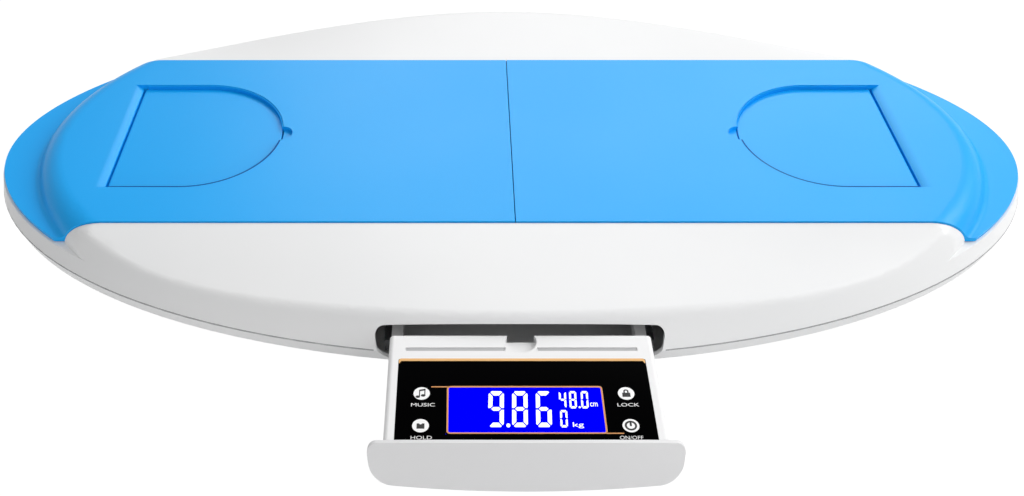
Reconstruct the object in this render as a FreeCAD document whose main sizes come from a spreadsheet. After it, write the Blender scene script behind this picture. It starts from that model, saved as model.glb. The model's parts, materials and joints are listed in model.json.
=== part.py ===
import FreeCAD, Part
import Sketcher
import PartDesign
import math
import os
import re

# A digital baby weighing scale. X runs along the lying surface, Y from the readout drawer (front)
# to the rear, Z up from the floor. The origin is under the middle of the whole scale with its
# readout drawer pulled out, which is the pose that is modelled.

SIZES = {
    # casing, measured over the parting line between its two shells
    "body_length": 636,
    "body_depth": 337,
    "parting_height": 32,
    "underside_height": 6,
    "shell_wall": 2.5,
    "side_lean": 0.46,
    "end_lean": 0.15,
    "shoulder_drop": 9,
    "shoulder_inset": 2.7,
    "underside_inset": 32,
    "deck_fullness": 0.673,
    # crown of the casing: a flat oval with a rounded rim, arched along both long sides
    "deck_height": 55,
    "crown_end_inset": 25,
    "crown_side_outset": 14.5,
    "crown_round": 18,
    "fender_drop": 1,
    "rim_fall": 1.9,
    "rim_arch_radius": 1000,
    "rim_round": 8,
    "channel_floor_height": 39.5,
    "channel_gap": 0.5,
    # sliding trays
    "tray_width": 171,
    "tray_skin": 2.5,
    "tray_seam": 0.5,
    "slot_end_inset": 43,
    "slide_clearance": 0.3,
    "lip_reveal": 1.1,
    "lip_thickness": 2.5,
    "lip_blend": 8,
    "lip_corner": 6,
    "post_radius": 4,
    "post_offset": 45,
    "inner_post_place": 60,
    "outer_post_place": 110,
    "slot_gap": 1,
    "glide_radius": 8,
    "glide_thickness": 3,
    # fold-up end flaps
    "hinge_inset": 78,
    "flap_length": 97,
    "flap_width": 107,
    "flap_thickness": 3,
    "flap_sink": 3,
    "flap_groove": 1,
    "flap_floor_gap": 0.4,
    "ramp_width": 5,
    "notch_radius": 7,
    "notch_depth": 3.5,
    "pin_radius": 1,
    "pin_length": 10,
    "pin_in_tray": 2,
    "pin_clearance": 0.08,
    # racks and the length sensor
    "pinion_teeth": 16,
    "gear_module": 1,
    "tooth_clearance": 0.3,
    "rack_width": 7,
    "rack_thickness": 5,
    "rack_overrun": 12,
    "arm_length": 20,
    "pinion_shaft_radius": 1.5,
    "shaft_clearance": 0.08,
    "sensor_radius": 8,
    "sensor_gap": 1,
    "sensor_floor": 1,
    # readout drawer
    "drawer_travel": 76,
    "drawer_rear_gap": 0.4,
    "front_width": 151,
    "front_height": 23,
    "front_thickness": 2,
    "front_drop": 7,
    "front_taper": 2,
    "front_arch_radius": 600,
    "front_top_corner": 5,
    "front_bottom_corner": 11,
    "mouth_gap": 0.8,
    "case_inset": 8,
    "case_height": 18,
    "case_drop": 3.5,
    "case_side": 6,
    "case_wall": 2,
    "front_seat_gap": 0.05,
    "case_deck": 2,
    "cover_thickness": 2,
    "cover_gap": 0.3,
    "tail_length": 32,
    "tail_height": 7.5,
    "ledge_groove_inset": 8.5,
    "ledge_groove_width": 2.4,
    "ledge_groove_depth": 0.8,
    "ledge_groove_place": 12,
    "thumb_radius": 8,
    "thumb_depth": 1.8,
    "guide_depth": 3,
    "guide_height": 3.5,
    "guide_lift": 2,
    "guide_clearance": 0.3,
    "rail_thickness": 3,
    "rail_gap": 0.5,
    "rail_rise": 2,
    "rail_inset": 10.5,
    "rail_foot_inset": 40.5,
    "rail_overrun": 2,
    # readout
    "panel_inset": 5.3,
    "panel_thickness": 1,
    "display_inset": 30.1,
    "display_offset": 30.7,
    "window_inset": 12.05,
    "window_depth": 29.2,
    "window_gap": 0.2,
    "glass_sink": 0.2,
    "module_side_border": 4.5,
    "module_edge_border": 1.5,
    "button_radius": 4.35,
    "button_gap": 0.3,
    "button_inset": 12.3,
    "button_rows": 20,
    "button_proud": 0.5,
    "button_flange": 1.1,
    "flange_thickness": 0.9,
    "button_travel": 0.8,
    "stem_radius": 2,
    "switch_side": 6,
    "switch_height": 2.2,
    "plunger_radius": 1.7,
    "plunger_height": 0.9,
    "press_gap": 0.1,
    "board_thickness": 1.6,
    "display_board_gap": 2.5,
    "display_board_front": 16.5,
    "display_board_rear": 24,
    "display_board_lift": 5.5,
    "board_post_radius": 3,
    "drawer_screw_inset": 6,
    "drawer_screw_rows": 19.5,
    "drawer_screw_length": 10,
    # electronics in the base
    "main_board_length": 96,
    "main_board_width": 66,
    "main_board_lift": 9.5,
    "board_screw_inset": 6,
    "screw_radius": 1.5,
    "screw_head_radius": 2.9,
    "screw_head_height": 1.6,
    "screw_slack": 0.05,
    "tray_screw_length": 8,
    "board_screw_length": 6,
    "chip_height": 2,
    "controller_side": 14,
    "controller_place": 27,
    "converter_side": 8,
    "converter_place": 27,
    "socket_width": 6,
    "socket_height": 4,
    "socket_inset": 3,
    "drawer_socket_length": 32,
    "battery_socket_length": 20,
    "speaker_place": 120,
    "speaker_radius": 18,
    "magnet_radius": 9,
    "speaker_height": 6,
    "grille_hole_radius": 1.2,
    "grille_ring": 8,
    # battery bay
    "cell_radius": 5.25,
    "cell_length": 44.5,
    "cell_pitch": 12,
    "bay_place": 121,
    "bay_wall": 2,
    "bay_margin": 0.5,
    "contact_thickness": 0.5,
    "contact_side": 8,
    "spring_length": 4,
    "spring_radius": 2.7,
    "door_thickness": 2,
    "door_gap": 0.4,
    # feet and load cells
    "foot_end_inset": 128,
    "foot_side_inset": 103.5,
    "foot_radius": 20,
    "foot_gap": 0.6,
    "foot_stem_radius": 7,
    "pad_radius": 18,
    "pad_thickness": 2.5,
    "seat_height": 1.5,
    "seat_width": 5.5,
    "cell_plate_side": 46,
    "cell_plate_thickness": 2.5,
    "cell_slot_width": 2,
    "cell_slot_length": 30,
    "cell_slot_place": 12,
    # fasteners of the casing
    "side_screw_along": 130,
    "side_screw_inset": 56.5,
    "end_screw_inset": 56,
    "boss_radius": 4,
    "shell_screw_length": 28,
}

# Places that several sub-parts share, worked out from the sizes. FAR is past the end of anything,
# OVER is how far a cutting solid runs past a face that it opens, and NEAR is a tolerance. The
# shares limit the fillets of a tray's lip to the width that the lip has. ELLIPSE is the fullness
# of an ellipse: how far out the middle of each quarter lies, as a share of both half lengths.
MIDDLE = "((drawer_travel + side_lean * front_drop) / 2)"
CHANNEL_HALF = "(tray_width / 2 + channel_gap)"
CHANNEL_UNDERSIDE = "(channel_floor_height - shell_wall)"
BASE_FLOOR = "(underside_height + shell_wall)"
SLOT_END = "(body_length / 2 - slot_end_inset)"
TRAY_TRAVEL = f"({SLOT_END} - slot_gap - post_radius - outer_post_place)"
POST_FOOT = f"({CHANNEL_UNDERSIDE} - slide_clearance)"
HINGE = "(body_length / 2 - hinge_inset)"
FLAP_TOP = "(deck_height - flap_sink)"
FLAP_BOTTOM = f"({FLAP_TOP} - flap_thickness)"
FLAP_ROUND_PLACE = f"({HINGE} - flap_length + flap_width / 2)"
PIN_PLACE = f"({HINGE} - flap_thickness / 2)"
PIN_HEIGHT = f"({FLAP_TOP} - flap_thickness / 2)"
PITCH_RADIUS = "(pinion_teeth * gear_module / 2)"
RACK_BOTTOM = f"({POST_FOOT} - rack_thickness)"
SHAFT_HOLE_RADIUS = "(pinion_shaft_radius + shaft_clearance)"
RACK_ROOT = f"({PITCH_RADIUS} + gear_module + tooth_clearance)"
FRONT_BOTTOM = "(parting_height - front_drop)"
CASE_TOP = f"({FRONT_BOTTOM} + front_height - case_drop)"
CASE_BOTTOM = f"({CASE_TOP} - case_height)"
CASE_DECK_UNDERSIDE = f"({CASE_TOP} - panel_thickness - case_deck)"
CASE_REAR = f"(-{CHANNEL_HALF} - shell_wall - drawer_rear_gap - drawer_travel)"
TAIL_REAR = f"({CASE_REAR} + tail_length)"
DISPLAY_PLACE = "(display_inset - body_depth / 2 - drawer_travel)"
PANEL_REAR = f"({DISPLAY_PLACE} + display_offset)"
CASE_HALF = "(front_width / 2 - case_inset)"
CASE_INNER_HALF = f"({CASE_HALF} - case_side)"
PANEL_HALF = f"({CASE_HALF} - panel_inset)"
BUTTON_PLACE = f"({PANEL_HALF} - button_inset)"
WINDOW_HALF = f"({BUTTON_PLACE} - window_inset)"
DISPLAY_BOARD_TOP = f"({CASE_BOTTOM} + cover_thickness + display_board_lift + board_thickness)"
MAIN_BOARD_TOP = f"({BASE_FLOOR} + main_board_lift + board_thickness)"
CELLS = 4
RING_HOLES = 6
CELL_HEIGHT = "(underside_height + door_thickness + bay_margin + cell_radius)"
BAY_HALF_LENGTH = "(cell_length / 2 + spring_length / 2 + contact_thickness)"
BAY_HALF_WIDTH = f"({(CELLS - 1) / 2} * cell_pitch + cell_radius + bay_margin)"
BAY_TOP = f"({CELL_HEIGHT} + cell_radius + bay_margin)"
CELL_PLATE_BOTTOM = f"({BASE_FLOOR} + seat_height)"
HOLE_RADIUS = "(screw_radius + screw_slack)"
RAIL_NEAR = f"({CASE_HALF} + rail_gap)"
RAIL_FRONT = "(rail_inset - body_depth / 2)"
RAIL_REAR = f"({TAIL_REAR} + drawer_travel + rail_overrun)"
FAR = "body_length"
OVER = 1
ELLIPSE = math.sqrt(0.5)
BLEND_SHARE = 0.9
CORNER_SHARE = 0.67
NEAR = 0.01

doc = FreeCAD.newDocument("BabyScale")
sheet = doc.addObject("Spreadsheet::Sheet", "Sizes")
for row, (alias, number) in enumerate(SIZES.items(), start=1):
    sheet.set(f"A{row}", alias)
    sheet.set(f"B{row}", str(number))
    sheet.setAlias(f"B{row}", alias)
doc.recompute()

nodes = []


# ---- binding sizes ---------------------------------------------------------------------------

def on_sheet(expression):
    """An expression with each size's name, which holds an underscore, pointed at the sheet."""
    return re.sub(r"[a-z]+(?:_[a-z]+)+", lambda name: "Sizes." + name.group(), expression)


def bind(thing, **properties):
    for name, expression in properties.items():
        thing.setExpression(name, on_sheet(expression))


def read(alias):
    """The number of one size, for the few places that take no expression."""
    return getattr(sheet, alias)


def value(expression):
    """The number that an expression of sizes comes to."""
    return sheet.evalExpression(on_sheet(expression))


def place(thing, x="0", y="0", z="0"):
    thing.setExpression("Placement.Base.x", on_sheet(x))
    thing.setExpression("Placement.Base.y", on_sheet(f"{MIDDLE} + ({y})"))
    thing.setExpression("Placement.Base.z", on_sheet(z))


def keep(node, thing):
    """Name a finished sub-part; the name is also the name of its file."""
    thing.Label = node
    nodes.append(thing)
    return thing


def span(pair):
    return f"({pair[1]}) - ({pair[0]})"


def either(side, near, far):
    """A range of places on the left (-1) or the right (1), given by its distances from the middle."""
    return (near, far) if side > 0 else (f"-({far})", f"-({near})")


def at(side, distance):
    return distance if side > 0 else f"-({distance})"


def side_name(side):
    return "right" if side > 0 else "left"


# ---- primitives and booleans -----------------------------------------------------------------

def block(name, x, y, z):
    solid = doc.addObject("Part::Box", name)
    bind(solid, Length=span(x), Width=span(y), Height=span(z))
    place(solid, x[0], y[0], z[0])
    return solid


def round_bar(name, x, y, z, radius):
    """An upright cylinder; z is a range."""
    solid = doc.addObject("Part::Cylinder", name)
    bind(solid, Radius=radius, Height=span(z))
    place(solid, x, y, z[0])
    return solid


def lying_bar(name, x, y, z, radius, along):
    """A cylinder along X or Y; that coordinate is a range."""
    solid = doc.addObject("Part::Cylinder", name)
    if along == "X":
        solid.Placement.Rotation = FreeCAD.Rotation(FreeCAD.Vector(0, 1, 0), 90)
        bind(solid, Radius=radius, Height=span(x))
        place(solid, x[0], y, z)
    else:
        solid.Placement.Rotation = FreeCAD.Rotation(FreeCAD.Vector(1, 0, 0), -90)
        bind(solid, Radius=radius, Height=span(y))
        place(solid, x, y[0], z)
    return solid


def join(name, *solids):
    result = doc.addObject("Part::MultiFuse", name)
    result.Shapes = list(solids)
    return result


def group(name, *solids):
    result = doc.addObject("Part::Compound", name)
    result.Links = list(solids)
    return result


def cut(name, base, *tools):
    result = doc.addObject("Part::Cut", name)
    result.Base = base
    result.Tool = tools[0] if len(tools) == 1 else group(name + "Tools", *tools)
    return result


def common(name, first, second):
    result = doc.addObject("Part::Common", name)
    result.Base = first
    result.Tool = second
    return result


# ---- bodies with sketches --------------------------------------------------------------------

def new_body(name, x="0", y="0", z="0"):
    body = doc.addObject("PartDesign::Body", name)
    place(body, x, y, z)
    return body


def add_sketch(body, plane="XY_Plane", lift="0"):
    sketch = body.newObject("Sketcher::SketchObject", body.Name + "Sketch")
    support = next(item for item in body.Origin.OriginFeatures if item.Role == plane)
    sketch.AttachmentSupport = [(support, "")]
    sketch.MapMode = "FlatFace"
    sketch.setExpression("AttachmentOffset.Base.z", on_sheet(lift))
    return sketch


def fix(sketch, kind, geometry, point, expression):
    """Hold one coordinate of a point, measured from the sketch's origin."""
    index = sketch.addConstraint(Sketcher.Constraint(kind, -1, 1, geometry, point, 1.0))
    sketch.setExpression(f"Constraints[{index}]", on_sheet(expression))


def draw_outline(sketch, corners):
    """A closed outline of straight lines; each corner is a pair of expressions."""
    first = sketch.GeometryCount
    count = len(corners)
    for number in range(count):
        start = FreeCAD.Vector(math.cos(math.tau * number / count), math.sin(math.tau * number / count))
        turn = math.tau * (number + 1) / count
        end = FreeCAD.Vector(math.cos(turn), math.sin(turn))
        sketch.addGeometry(Part.LineSegment(start, end), False)
    for number, (x, y) in enumerate(corners):
        following = first + (number + 1) % count
        sketch.addConstraint(Sketcher.Constraint("Coincident", first + number, 2, following, 1))
        fix(sketch, "DistanceX", first + number, 1, x)
        fix(sketch, "DistanceY", first + number, 1, y)


def draw_rectangle(sketch, x, y):
    draw_outline(sketch, [(x[0], y[0]), (x[1], y[0]), (x[1], y[1]), (x[0], y[1])])


def draw_circle(sketch, x, y, radius):
    circle = Part.Circle(FreeCAD.Vector(0, 0, 0), FreeCAD.Vector(0, 0, 1), 1)
    number = sketch.addGeometry(circle, False)
    fix(sketch, "DistanceX", number, 3, x)
    fix(sketch, "DistanceY", number, 3, y)
    index = sketch.addConstraint(Sketcher.Constraint("Radius", number, 1.0))
    sketch.setExpression(f"Constraints[{index}]", on_sheet(radius))


def pad(body, sketch, length):
    feature = body.newObject("PartDesign::Pad", body.Name + "Pad")
    feature.Profile = sketch
    bind(feature, Length=length)
    return feature


def turned(name, profile, x="0", y="0"):
    """A body of revolution about the upright line through (x, y); the profile is (radius, height)."""
    body = new_body(name, x, y)
    sketch = add_sketch(body, "XZ_Plane")
    draw_outline(sketch, profile)
    feature = body.newObject("PartDesign::Revolution", body.Name + "Revolution")
    feature.Profile = sketch
    feature.ReferenceAxis = (sketch, ["V_Axis"])
    feature.Angle = 360
    return body


def screw(name, x, y, head_bottom, length):
    """A pan-head screw driven upwards; its head is underneath."""
    neck = f"({head_bottom} + screw_head_height)"
    profile = [("0", head_bottom), ("screw_head_radius", head_bottom), ("screw_head_radius", neck),
               ("screw_radius", neck), ("screw_radius", f"{neck} + {length}"), ("0", f"{neck} + {length}")]
    return turned(name, profile, x, y)


# ---- forms of the casing ---------------------------------------------------------------------
# These curved solids are made with Part's own functions about the middle of the casing, from
# numbers read off the sheet. Each becomes a feature of its own before it is cut or joined.

def feature(name, shape, y="0"):
    solid = doc.addObject("Part::Feature", name)
    solid.Shape = shape
    place(solid, "0", y)
    return solid


def oval_wire(half_length, half_depth, height):
    return Part.Wire([Part.Ellipse(FreeCAD.Vector(0, 0, height), half_length, half_depth).toShape()])


def oval_solid(*levels):
    """A straight-sided solid through oval levels, each (half length, half depth, height)."""
    return Part.makeLoft([oval_wire(*level) for level in levels], True, True)


def wall_level(inset, height):
    """The outline of the casing's leaning wall at a height; above the parting line it is less full."""
    rise = height - read("parting_height")
    slimmer = max(rise, 0) / (read("deck_height") - read("parting_height"))
    return (read("body_length") / 2 - inset - read("end_lean") * rise,
            read("body_depth") / 2 - inset - read("side_lean") * rise, height,
            ELLIPSE + (read("deck_fullness") - ELLIPSE) * slimmer)


def quarter_weight(fullness):
    return (fullness - 0.5) / (1 - fullness)


def wall_wire(half_length, half_depth, height, fullness):
    """An oval outline of four conic arcs."""
    arcs = []
    for x, y in ((1, 1), (-1, 1), (-1, -1), (1, -1)):
        end, side = FreeCAD.Vector(x * half_length, 0, height), FreeCAD.Vector(0, y * half_depth, height)
        arc = Part.BezierCurve()
        arc.setPoles([end, end + side - FreeCAD.Vector(0, 0, height), side][::x * y])
        arc.setWeight(2, quarter_weight(fullness))
        arcs.append(arc.toShape())
    return Part.Wire(arcs)


def slab(x, y, z):
    """A box between two corners, for trimming; each argument is a range of numbers."""
    return Part.makeBox(x[1] - x[0], y[1] - y[0], z[1] - z[0], FreeCAD.Vector(x[0], y[0], z[0]))


def wall_shape(inset, low, high):
    """The solid inside the casing's leaning wall, between two heights."""
    heights = (read("underside_height"), read("parting_height"), read("deck_height"))
    whole = Part.makeLoft([wall_wire(*wall_level(inset, height)) for height in heights], True, True)
    reach = read("body_length")
    return whole.common(slab((-reach, reach), (-reach, reach), (low, high)))


def crown_shape(inset, top):
    """The solid under the flat crown with its rounded rim."""
    bottom = read("parting_height")
    outline = oval_wire(read("body_length") / 2 - read("crown_end_inset") - inset,
                        read("body_depth") / 2 + read("crown_side_outset") - inset, bottom)
    pillar = Part.Face(outline).extrude(FreeCAD.Vector(0, 0, top - bottom))
    rim = [edge for edge in pillar.Edges if edge.BoundBox.ZMin > top - NEAR]
    return pillar.makeFillet(read("crown_round") - inset, rim)


def arch_shape(inset, side):
    """The solid under one fender: level along the channel, falling and arched towards the rim."""
    reach = read("body_length") / 2 + read("crown_round")
    near = read("tray_width") / 2 + read("channel_gap")
    far = read("body_depth") / 2 + read("rim_round")
    top = read("deck_height") - read("fender_drop") - inset
    sag = reach ** 2 / (2 * read("rim_arch_radius"))
    sections = []
    for y, peak, drop in ((near, top, NEAR), (far, top - read("rim_fall"), sag)):
        outline = ((-reach, -reach), (-reach, peak - drop), (0, peak),
                   (reach, peak - drop), (reach, -reach))
        corners = [FreeCAD.Vector(x, side * y, z) for x, z in outline]
        sections.append(Part.Wire([
            Part.makeLine(corners[0], corners[1]), Part.Arc(*corners[1:4]).toShape(),
            Part.makeLine(corners[3], corners[4]), Part.makeLine(corners[4], corners[0])]))
    return Part.makeLoft(sections, True, True)


def fender_shape(inset, side, low, channel_floor):
    """One long side of the casing outside the channel, with its rim rounded."""
    reach = read("body_length")
    near = read("tray_width") / 2 + read("channel_gap") + inset
    top = read("deck_height") - read("fender_drop") - inset
    beside = slab((-reach, reach), sorted((side * near, side * reach)), (low, top))
    below = slab((-reach, reach), (-reach, reach), (low, channel_floor))
    under = crown_shape(inset, top).common(arch_shape(inset, side)).fuse(below)
    whole = wall_shape(inset, low, top).common(beside).common(under)
    rims = sorted((edge for edge in whole.Edges if edge.BoundBox.ZMin > channel_floor
                   and edge.BoundBox.YLength > near / 4), key=lambda edge: edge.BoundBox.XLength)
    return whole.makeFillet(read("rim_round") - inset, rims[-2:])


def casing_shape(inset, low, channel_floor):
    """Both fenders and the block under the channel between them."""
    near = read("tray_width") / 2 + read("channel_gap") + inset
    between = slab((-read("body_length"), read("body_length")), (-near, near), (low, channel_floor))
    middle = wall_shape(inset, low, channel_floor).common(between)
    return middle.fuse([fender_shape(inset, side, low, channel_floor) for side in (-1, 1)])


# ---- casing ----------------------------------------------------------------------------------

def screw_places():
    """The six screws that hold the two shells together."""
    across = "body_depth / 2 - side_screw_inset"
    corners = [(at(x, "side_screw_along"), at(y, across)) for x in (-1, 1) for y in (-1, 1)]
    return corners + [(at(x, "body_length / 2 - end_screw_inset"), "0") for x in (-1, 1)]


def front_block(grow, rear):
    """The outline of the drawer's front, arched on top, as a block that runs forward from its rear."""
    half = read("front_width") / 2
    low = value(FRONT_BOTTOM) - grow
    top = value(FRONT_BOTTOM) + read("front_height") + grow
    side_top = top - half ** 2 / (2 * read("front_arch_radius"))
    wide, narrow = half + grow, half + grow - read("front_taper")
    front = -read("body_length")
    corners = [FreeCAD.Vector(x, front, z) for x, z in
               ((-narrow, low), (narrow, low), (wide, side_top), (0, top), (-wide, side_top))]
    outline = Part.Wire([
        Part.makeLine(corners[0], corners[1]), Part.makeLine(corners[1], corners[2]),
        Part.Arc(*corners[2:5]).toShape(), Part.makeLine(corners[4], corners[0])])
    solid = Part.Face(outline).extrude(FreeCAD.Vector(0, rear - front, 0))
    for height, radius in ((low, "front_bottom_corner"), (side_top, "front_top_corner")):
        lengthwise = [edge for edge in solid.Edges if edge.BoundBox.XLength < NEAR
                      and edge.BoundBox.ZLength < NEAR and abs(edge.BoundBox.ZMin - height) < NEAR]
        solid = solid.makeFillet(read(radius) + grow, lengthwise)
    return solid


def mouth(name):
    """The drawer's way through the front wall of both shells."""
    return feature(name, front_block(read("mouth_gap"), value(f"-{CHANNEL_HALF} - 2 * shell_wall")))


def make_top_shell():
    low = read("parting_height")
    floor = read("channel_floor_height")
    wall = read("shell_wall")
    outer = feature("TopOuter", casing_shape(0, low, floor))
    inner = feature("TopInner", casing_shape(wall, low, floor - wall))
    skin = cut("TopSkin", outer, inner)
    bosses = group("TopBosses", *[
        round_bar(f"TopBoss{number}", x, y, ("parting_height", "deck_height"), "boss_radius")
        for number, (x, y) in enumerate(screw_places())])
    walls = join("TopWalls", skin, common("TopBossesTrimmed", outer, bosses))
    tools = [mouth("TopMouth")]
    for side in (-1, 1):
        slot_x = either(side, "inner_post_place - post_radius - slot_gap", SLOT_END)
        for row in (-1, 1):
            slot_y = (f"{at(row, 'post_offset')} - post_radius - slot_gap",
                      f"{at(row, 'post_offset')} + post_radius + slot_gap")
            tools.append(block("TraySlot", slot_x, slot_y,
                               (f"{CHANNEL_UNDERSIDE} - {OVER}", f"channel_floor_height + {OVER}")))
    for x, y in screw_places():
        tools.append(round_bar("TopPilot", x, y, ("0", f"{BASE_FLOOR} + shell_screw_length"),
                               HOLE_RADIUS))
    keep("top_shell", cut("TopShell", walls, *tools))


def base_shape(inset):
    """The bowl under the parting line: a steep shoulder over a slanting bottom."""
    half_length = read("body_length") / 2 - inset
    half_depth = read("body_depth") / 2 - inset
    levels = []
    for tuck, height in ((read("underside_inset"), read("underside_height") + inset),
                         (read("shoulder_inset"), read("parting_height") - read("shoulder_drop")),
                         (0, read("parting_height"))):
        levels.append((half_length - tuck, half_depth - tuck, height))
    return oval_solid(*levels)


def foot_places():
    """The name and place of each foot."""
    places = []
    for row, row_name in ((-1, "front"), (1, "rear")):
        for side in (-1, 1):
            places.append((f"{row_name}_{side_name(side)}", at(side, "body_length / 2 - foot_end_inset"),
                           at(row, "body_depth / 2 - foot_side_inset")))
    return places


def board_screw_places():
    x = "main_board_length / 2 - board_screw_inset"
    y = "main_board_width / 2 - board_screw_inset"
    return [(at(side, x), at(row, y)) for side in (-1, 1) for row in (-1, 1)]


def ring(name, x, y, z, outer, inner):
    return cut(name, round_bar(name + "Outer", x, y, z, outer),
               round_bar(name + "Inner", x, y, z, inner))


def base_bosses():
    """The bosses, board posts and load-cell seats that stand on the bottom shell's floor."""
    root = f"{BASE_FLOOR} - shell_wall / 2"
    solids = []
    for x, y in screw_places():
        solids.append(round_bar("BaseBoss", x, y, (root, "parting_height"), "boss_radius"))
    for x, y in board_screw_places():
        solids.append(round_bar("BoardPost", x, y, (root, f"{BASE_FLOOR} + main_board_lift"),
                                "board_post_radius"))
    for _, x, y in foot_places():
        solids.append(ring("CellSeat", x, y, (root, CELL_PLATE_BOTTOM),
                           "foot_radius + foot_gap + seat_width", "foot_radius + foot_gap"))
    return solids


def base_holes():
    """The holes in the bottom shell: for the feet, the screws and the sound of the speaker."""
    tools = []
    for _, x, y in foot_places():
        tools.append(round_bar("FootHole", x, y, ("0", CELL_PLATE_BOTTOM), "foot_radius + foot_gap"))
    for x, y in screw_places():
        tools.append(round_bar("ScrewHole", x, y, ("0", f"parting_height + {OVER}"), HOLE_RADIUS))
        tools.append(round_bar("HeadHole", x, y, ("0", BASE_FLOOR), "screw_head_radius + slide_clearance"))
    for x, y in board_screw_places():
        pilot_z = (f"{BASE_FLOOR} + {OVER}", f"{BASE_FLOOR} + main_board_lift + {OVER}")
        tools.append(round_bar("BoardPilot", x, y, pilot_z, HOLE_RADIUS))
    for x, y in grille_places():
        tools.append(round_bar("GrilleHole", x, y, ("0", f"{BASE_FLOOR} + {OVER}"), "grille_hole_radius"))
    return tools


def make_bottom_shell():
    skin = cut("BaseSkin", feature("BaseOuter", base_shape(0)),
               feature("BaseInner", base_shape(read("shell_wall"))))
    bay_x = (f"bay_place - {BAY_HALF_LENGTH}", f"bay_place + {BAY_HALF_LENGTH}")
    bay_y = (f"-{BAY_HALF_WIDTH}", BAY_HALF_WIDTH)
    bay_walls = block("BayOuter", (f"{bay_x[0]} - bay_wall", f"{bay_x[1]} + bay_wall"),
                      (f"{bay_y[0]} - bay_wall", f"{bay_y[1]} + bay_wall"),
                      ("underside_height", f"{BAY_TOP} + bay_wall"))
    bay_hollow = block("BayInner", bay_x, bay_y, (f"underside_height - {OVER}", BAY_TOP))
    walls = join("BaseWalls", skin, bay_walls, *base_bosses())
    keep("bottom_shell", cut("BottomShell", walls, bay_hollow, mouth("BaseMouth"), *base_holes()))


def grille_places():
    """One hole under the middle of the speaker and a ring of holes about it."""
    holes = [("-speaker_place", "0")]
    for number in range(RING_HOLES):
        turn = math.tau * number / RING_HOLES
        holes.append((f"-speaker_place + grille_ring * {math.cos(turn):.4f}",
                      f"grille_ring * {math.sin(turn):.4f}"))
    return holes


def make_shell_screws():
    keep("shell_screws", group("ShellScrews", *[
        screw(f"ShellScrew{number}", x, y, f"{BASE_FLOOR} - screw_head_height", "shell_screw_length")
        for number, (x, y) in enumerate(screw_places())]))


# ---- trays -----------------------------------------------------------------------------------

def on_side(side, shape):
    """A shape made for the left end, mirrored for the right one."""
    return shape.mirror(FreeCAD.Vector(0, 0, 0), FreeCAD.Vector(1, 0, 0)) if side > 0 else shape


def oval_reach(half_width, half_length, half_depth, fullness):
    """How far an oval reaches along X at a distance from its long axis."""
    short = 1 - half_width / half_depth
    sum_of_roots = 2 - 2 * short + 4 * quarter_weight(fullness) ** 2 * short
    return half_length * (1 - (sum_of_roots - math.sqrt(sum_of_roots ** 2 - 4 * (1 - short) ** 2)) / 2)


def lip_reveal_at(half_width, lip_level):
    """How far the lip stands out from under the crown at the tray's edge; its fillets fit in that."""
    half_length, half_depth, _, fullness = lip_level
    crown = oval_reach(half_width, read("body_length") / 2 - read("crown_end_inset"),
                       read("body_depth") / 2 + read("crown_side_outset"), ELLIPSE)
    return oval_reach(half_width, half_length, half_depth, fullness) - crown


def tray_outer_shape():
    """The crown's middle band, from the seam to the left end, with the lip that covers the wall."""
    foot = read("channel_floor_height") + read("slide_clearance")
    top = read("deck_height")
    half_width = read("tray_width") / 2
    near = read("tray_seam") / 2
    band = slab((-read("body_length"), -near), (-half_width, half_width), (foot, top))
    lip_level = wall_level(read("lip_reveal"), foot)
    lip_top = foot + read("lip_thickness")
    lip_face = Part.Face(wall_wire(*lip_level))
    lip = lip_face.extrude(FreeCAD.Vector(0, 0, read("lip_thickness"))).common(band)
    reveal = lip_reveal_at(half_width, lip_level)
    whole = crown_shape(0, top).common(band).fuse(lip).removeSplitter()
    level = [edge for edge in whole.Edges if abs(edge.BoundBox.ZMin - lip_top) < NEAR
             and edge.BoundBox.ZLength < NEAR and edge.BoundBox.YLength > half_width]
    inner_edge = max(level, key=lambda edge: edge.BoundBox.XMin)
    blended = whole.makeFillet(min(read("lip_blend"), BLEND_SHARE * reveal), [inner_edge])
    upright = [edge for edge in blended.Edges if edge.BoundBox.XLength < NEAR
               and abs(edge.BoundBox.ZLength - read("lip_thickness")) < NEAR]
    return blended.makeFillet(min(read("lip_corner"), CORNER_SHARE * reveal), upright)


def tray_inner_shape():
    """The hollow under the left tray, open below."""
    skin = read("tray_skin")
    half_width = read("tray_width") / 2 - skin
    near = read("tray_seam") / 2 + skin
    top = read("deck_height") - skin
    foot = read("channel_floor_height")
    band = slab((-read("body_length"), -near), (-half_width, half_width), (foot, top))
    return crown_shape(skin, top).common(band)


def flap_outline(name, side, grow, hinge_grow, z):
    """The flap's outline, straight at the hinge and half round at the tip, grown all round."""
    half = f"flap_width / 2 + ({grow})"
    straight = block(name + "Straight", either(side, FLAP_ROUND_PLACE, f"{HINGE} + ({hinge_grow})"),
                     (f"-({half})", half), z)
    tip_x = either(side, f"{HINGE} - flap_length - ({grow})", FLAP_ROUND_PLACE)
    tip_half = block(name + "TipHalf", tip_x, (f"-({half})", half), z)
    whole_round = round_bar(name + "Round", at(side, FLAP_ROUND_PLACE), "0", z, half)
    tip = common(name + "Tip", whole_round, tip_half)
    return join(name, straight, tip)


def ramp_shape():
    """The slope that runs down from the deck to the left flap along its hinge."""
    start = read("body_length") / 2 - read("hinge_inset") + read("flap_groove") - NEAR
    low = read("deck_height") - read("flap_sink")
    half_width = read("flap_width") / 2 + read("flap_groove")
    high = read("deck_height") + NEAR
    corners = [FreeCAD.Vector(-start, -half_width, low), FreeCAD.Vector(-start, -half_width, high),
               FreeCAD.Vector(-start - read("ramp_width"), -half_width, high)]
    face = Part.Face(Part.makePolygon(corners + corners[:1]))
    return face.extrude(FreeCAD.Vector(0, 2 * half_width, 0))


def post_places(side):
    return [(at(side, place_along), at(row, "post_offset"))
            for place_along in ("inner_post_place", "outer_post_place") for row in (-1, 1)]


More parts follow.
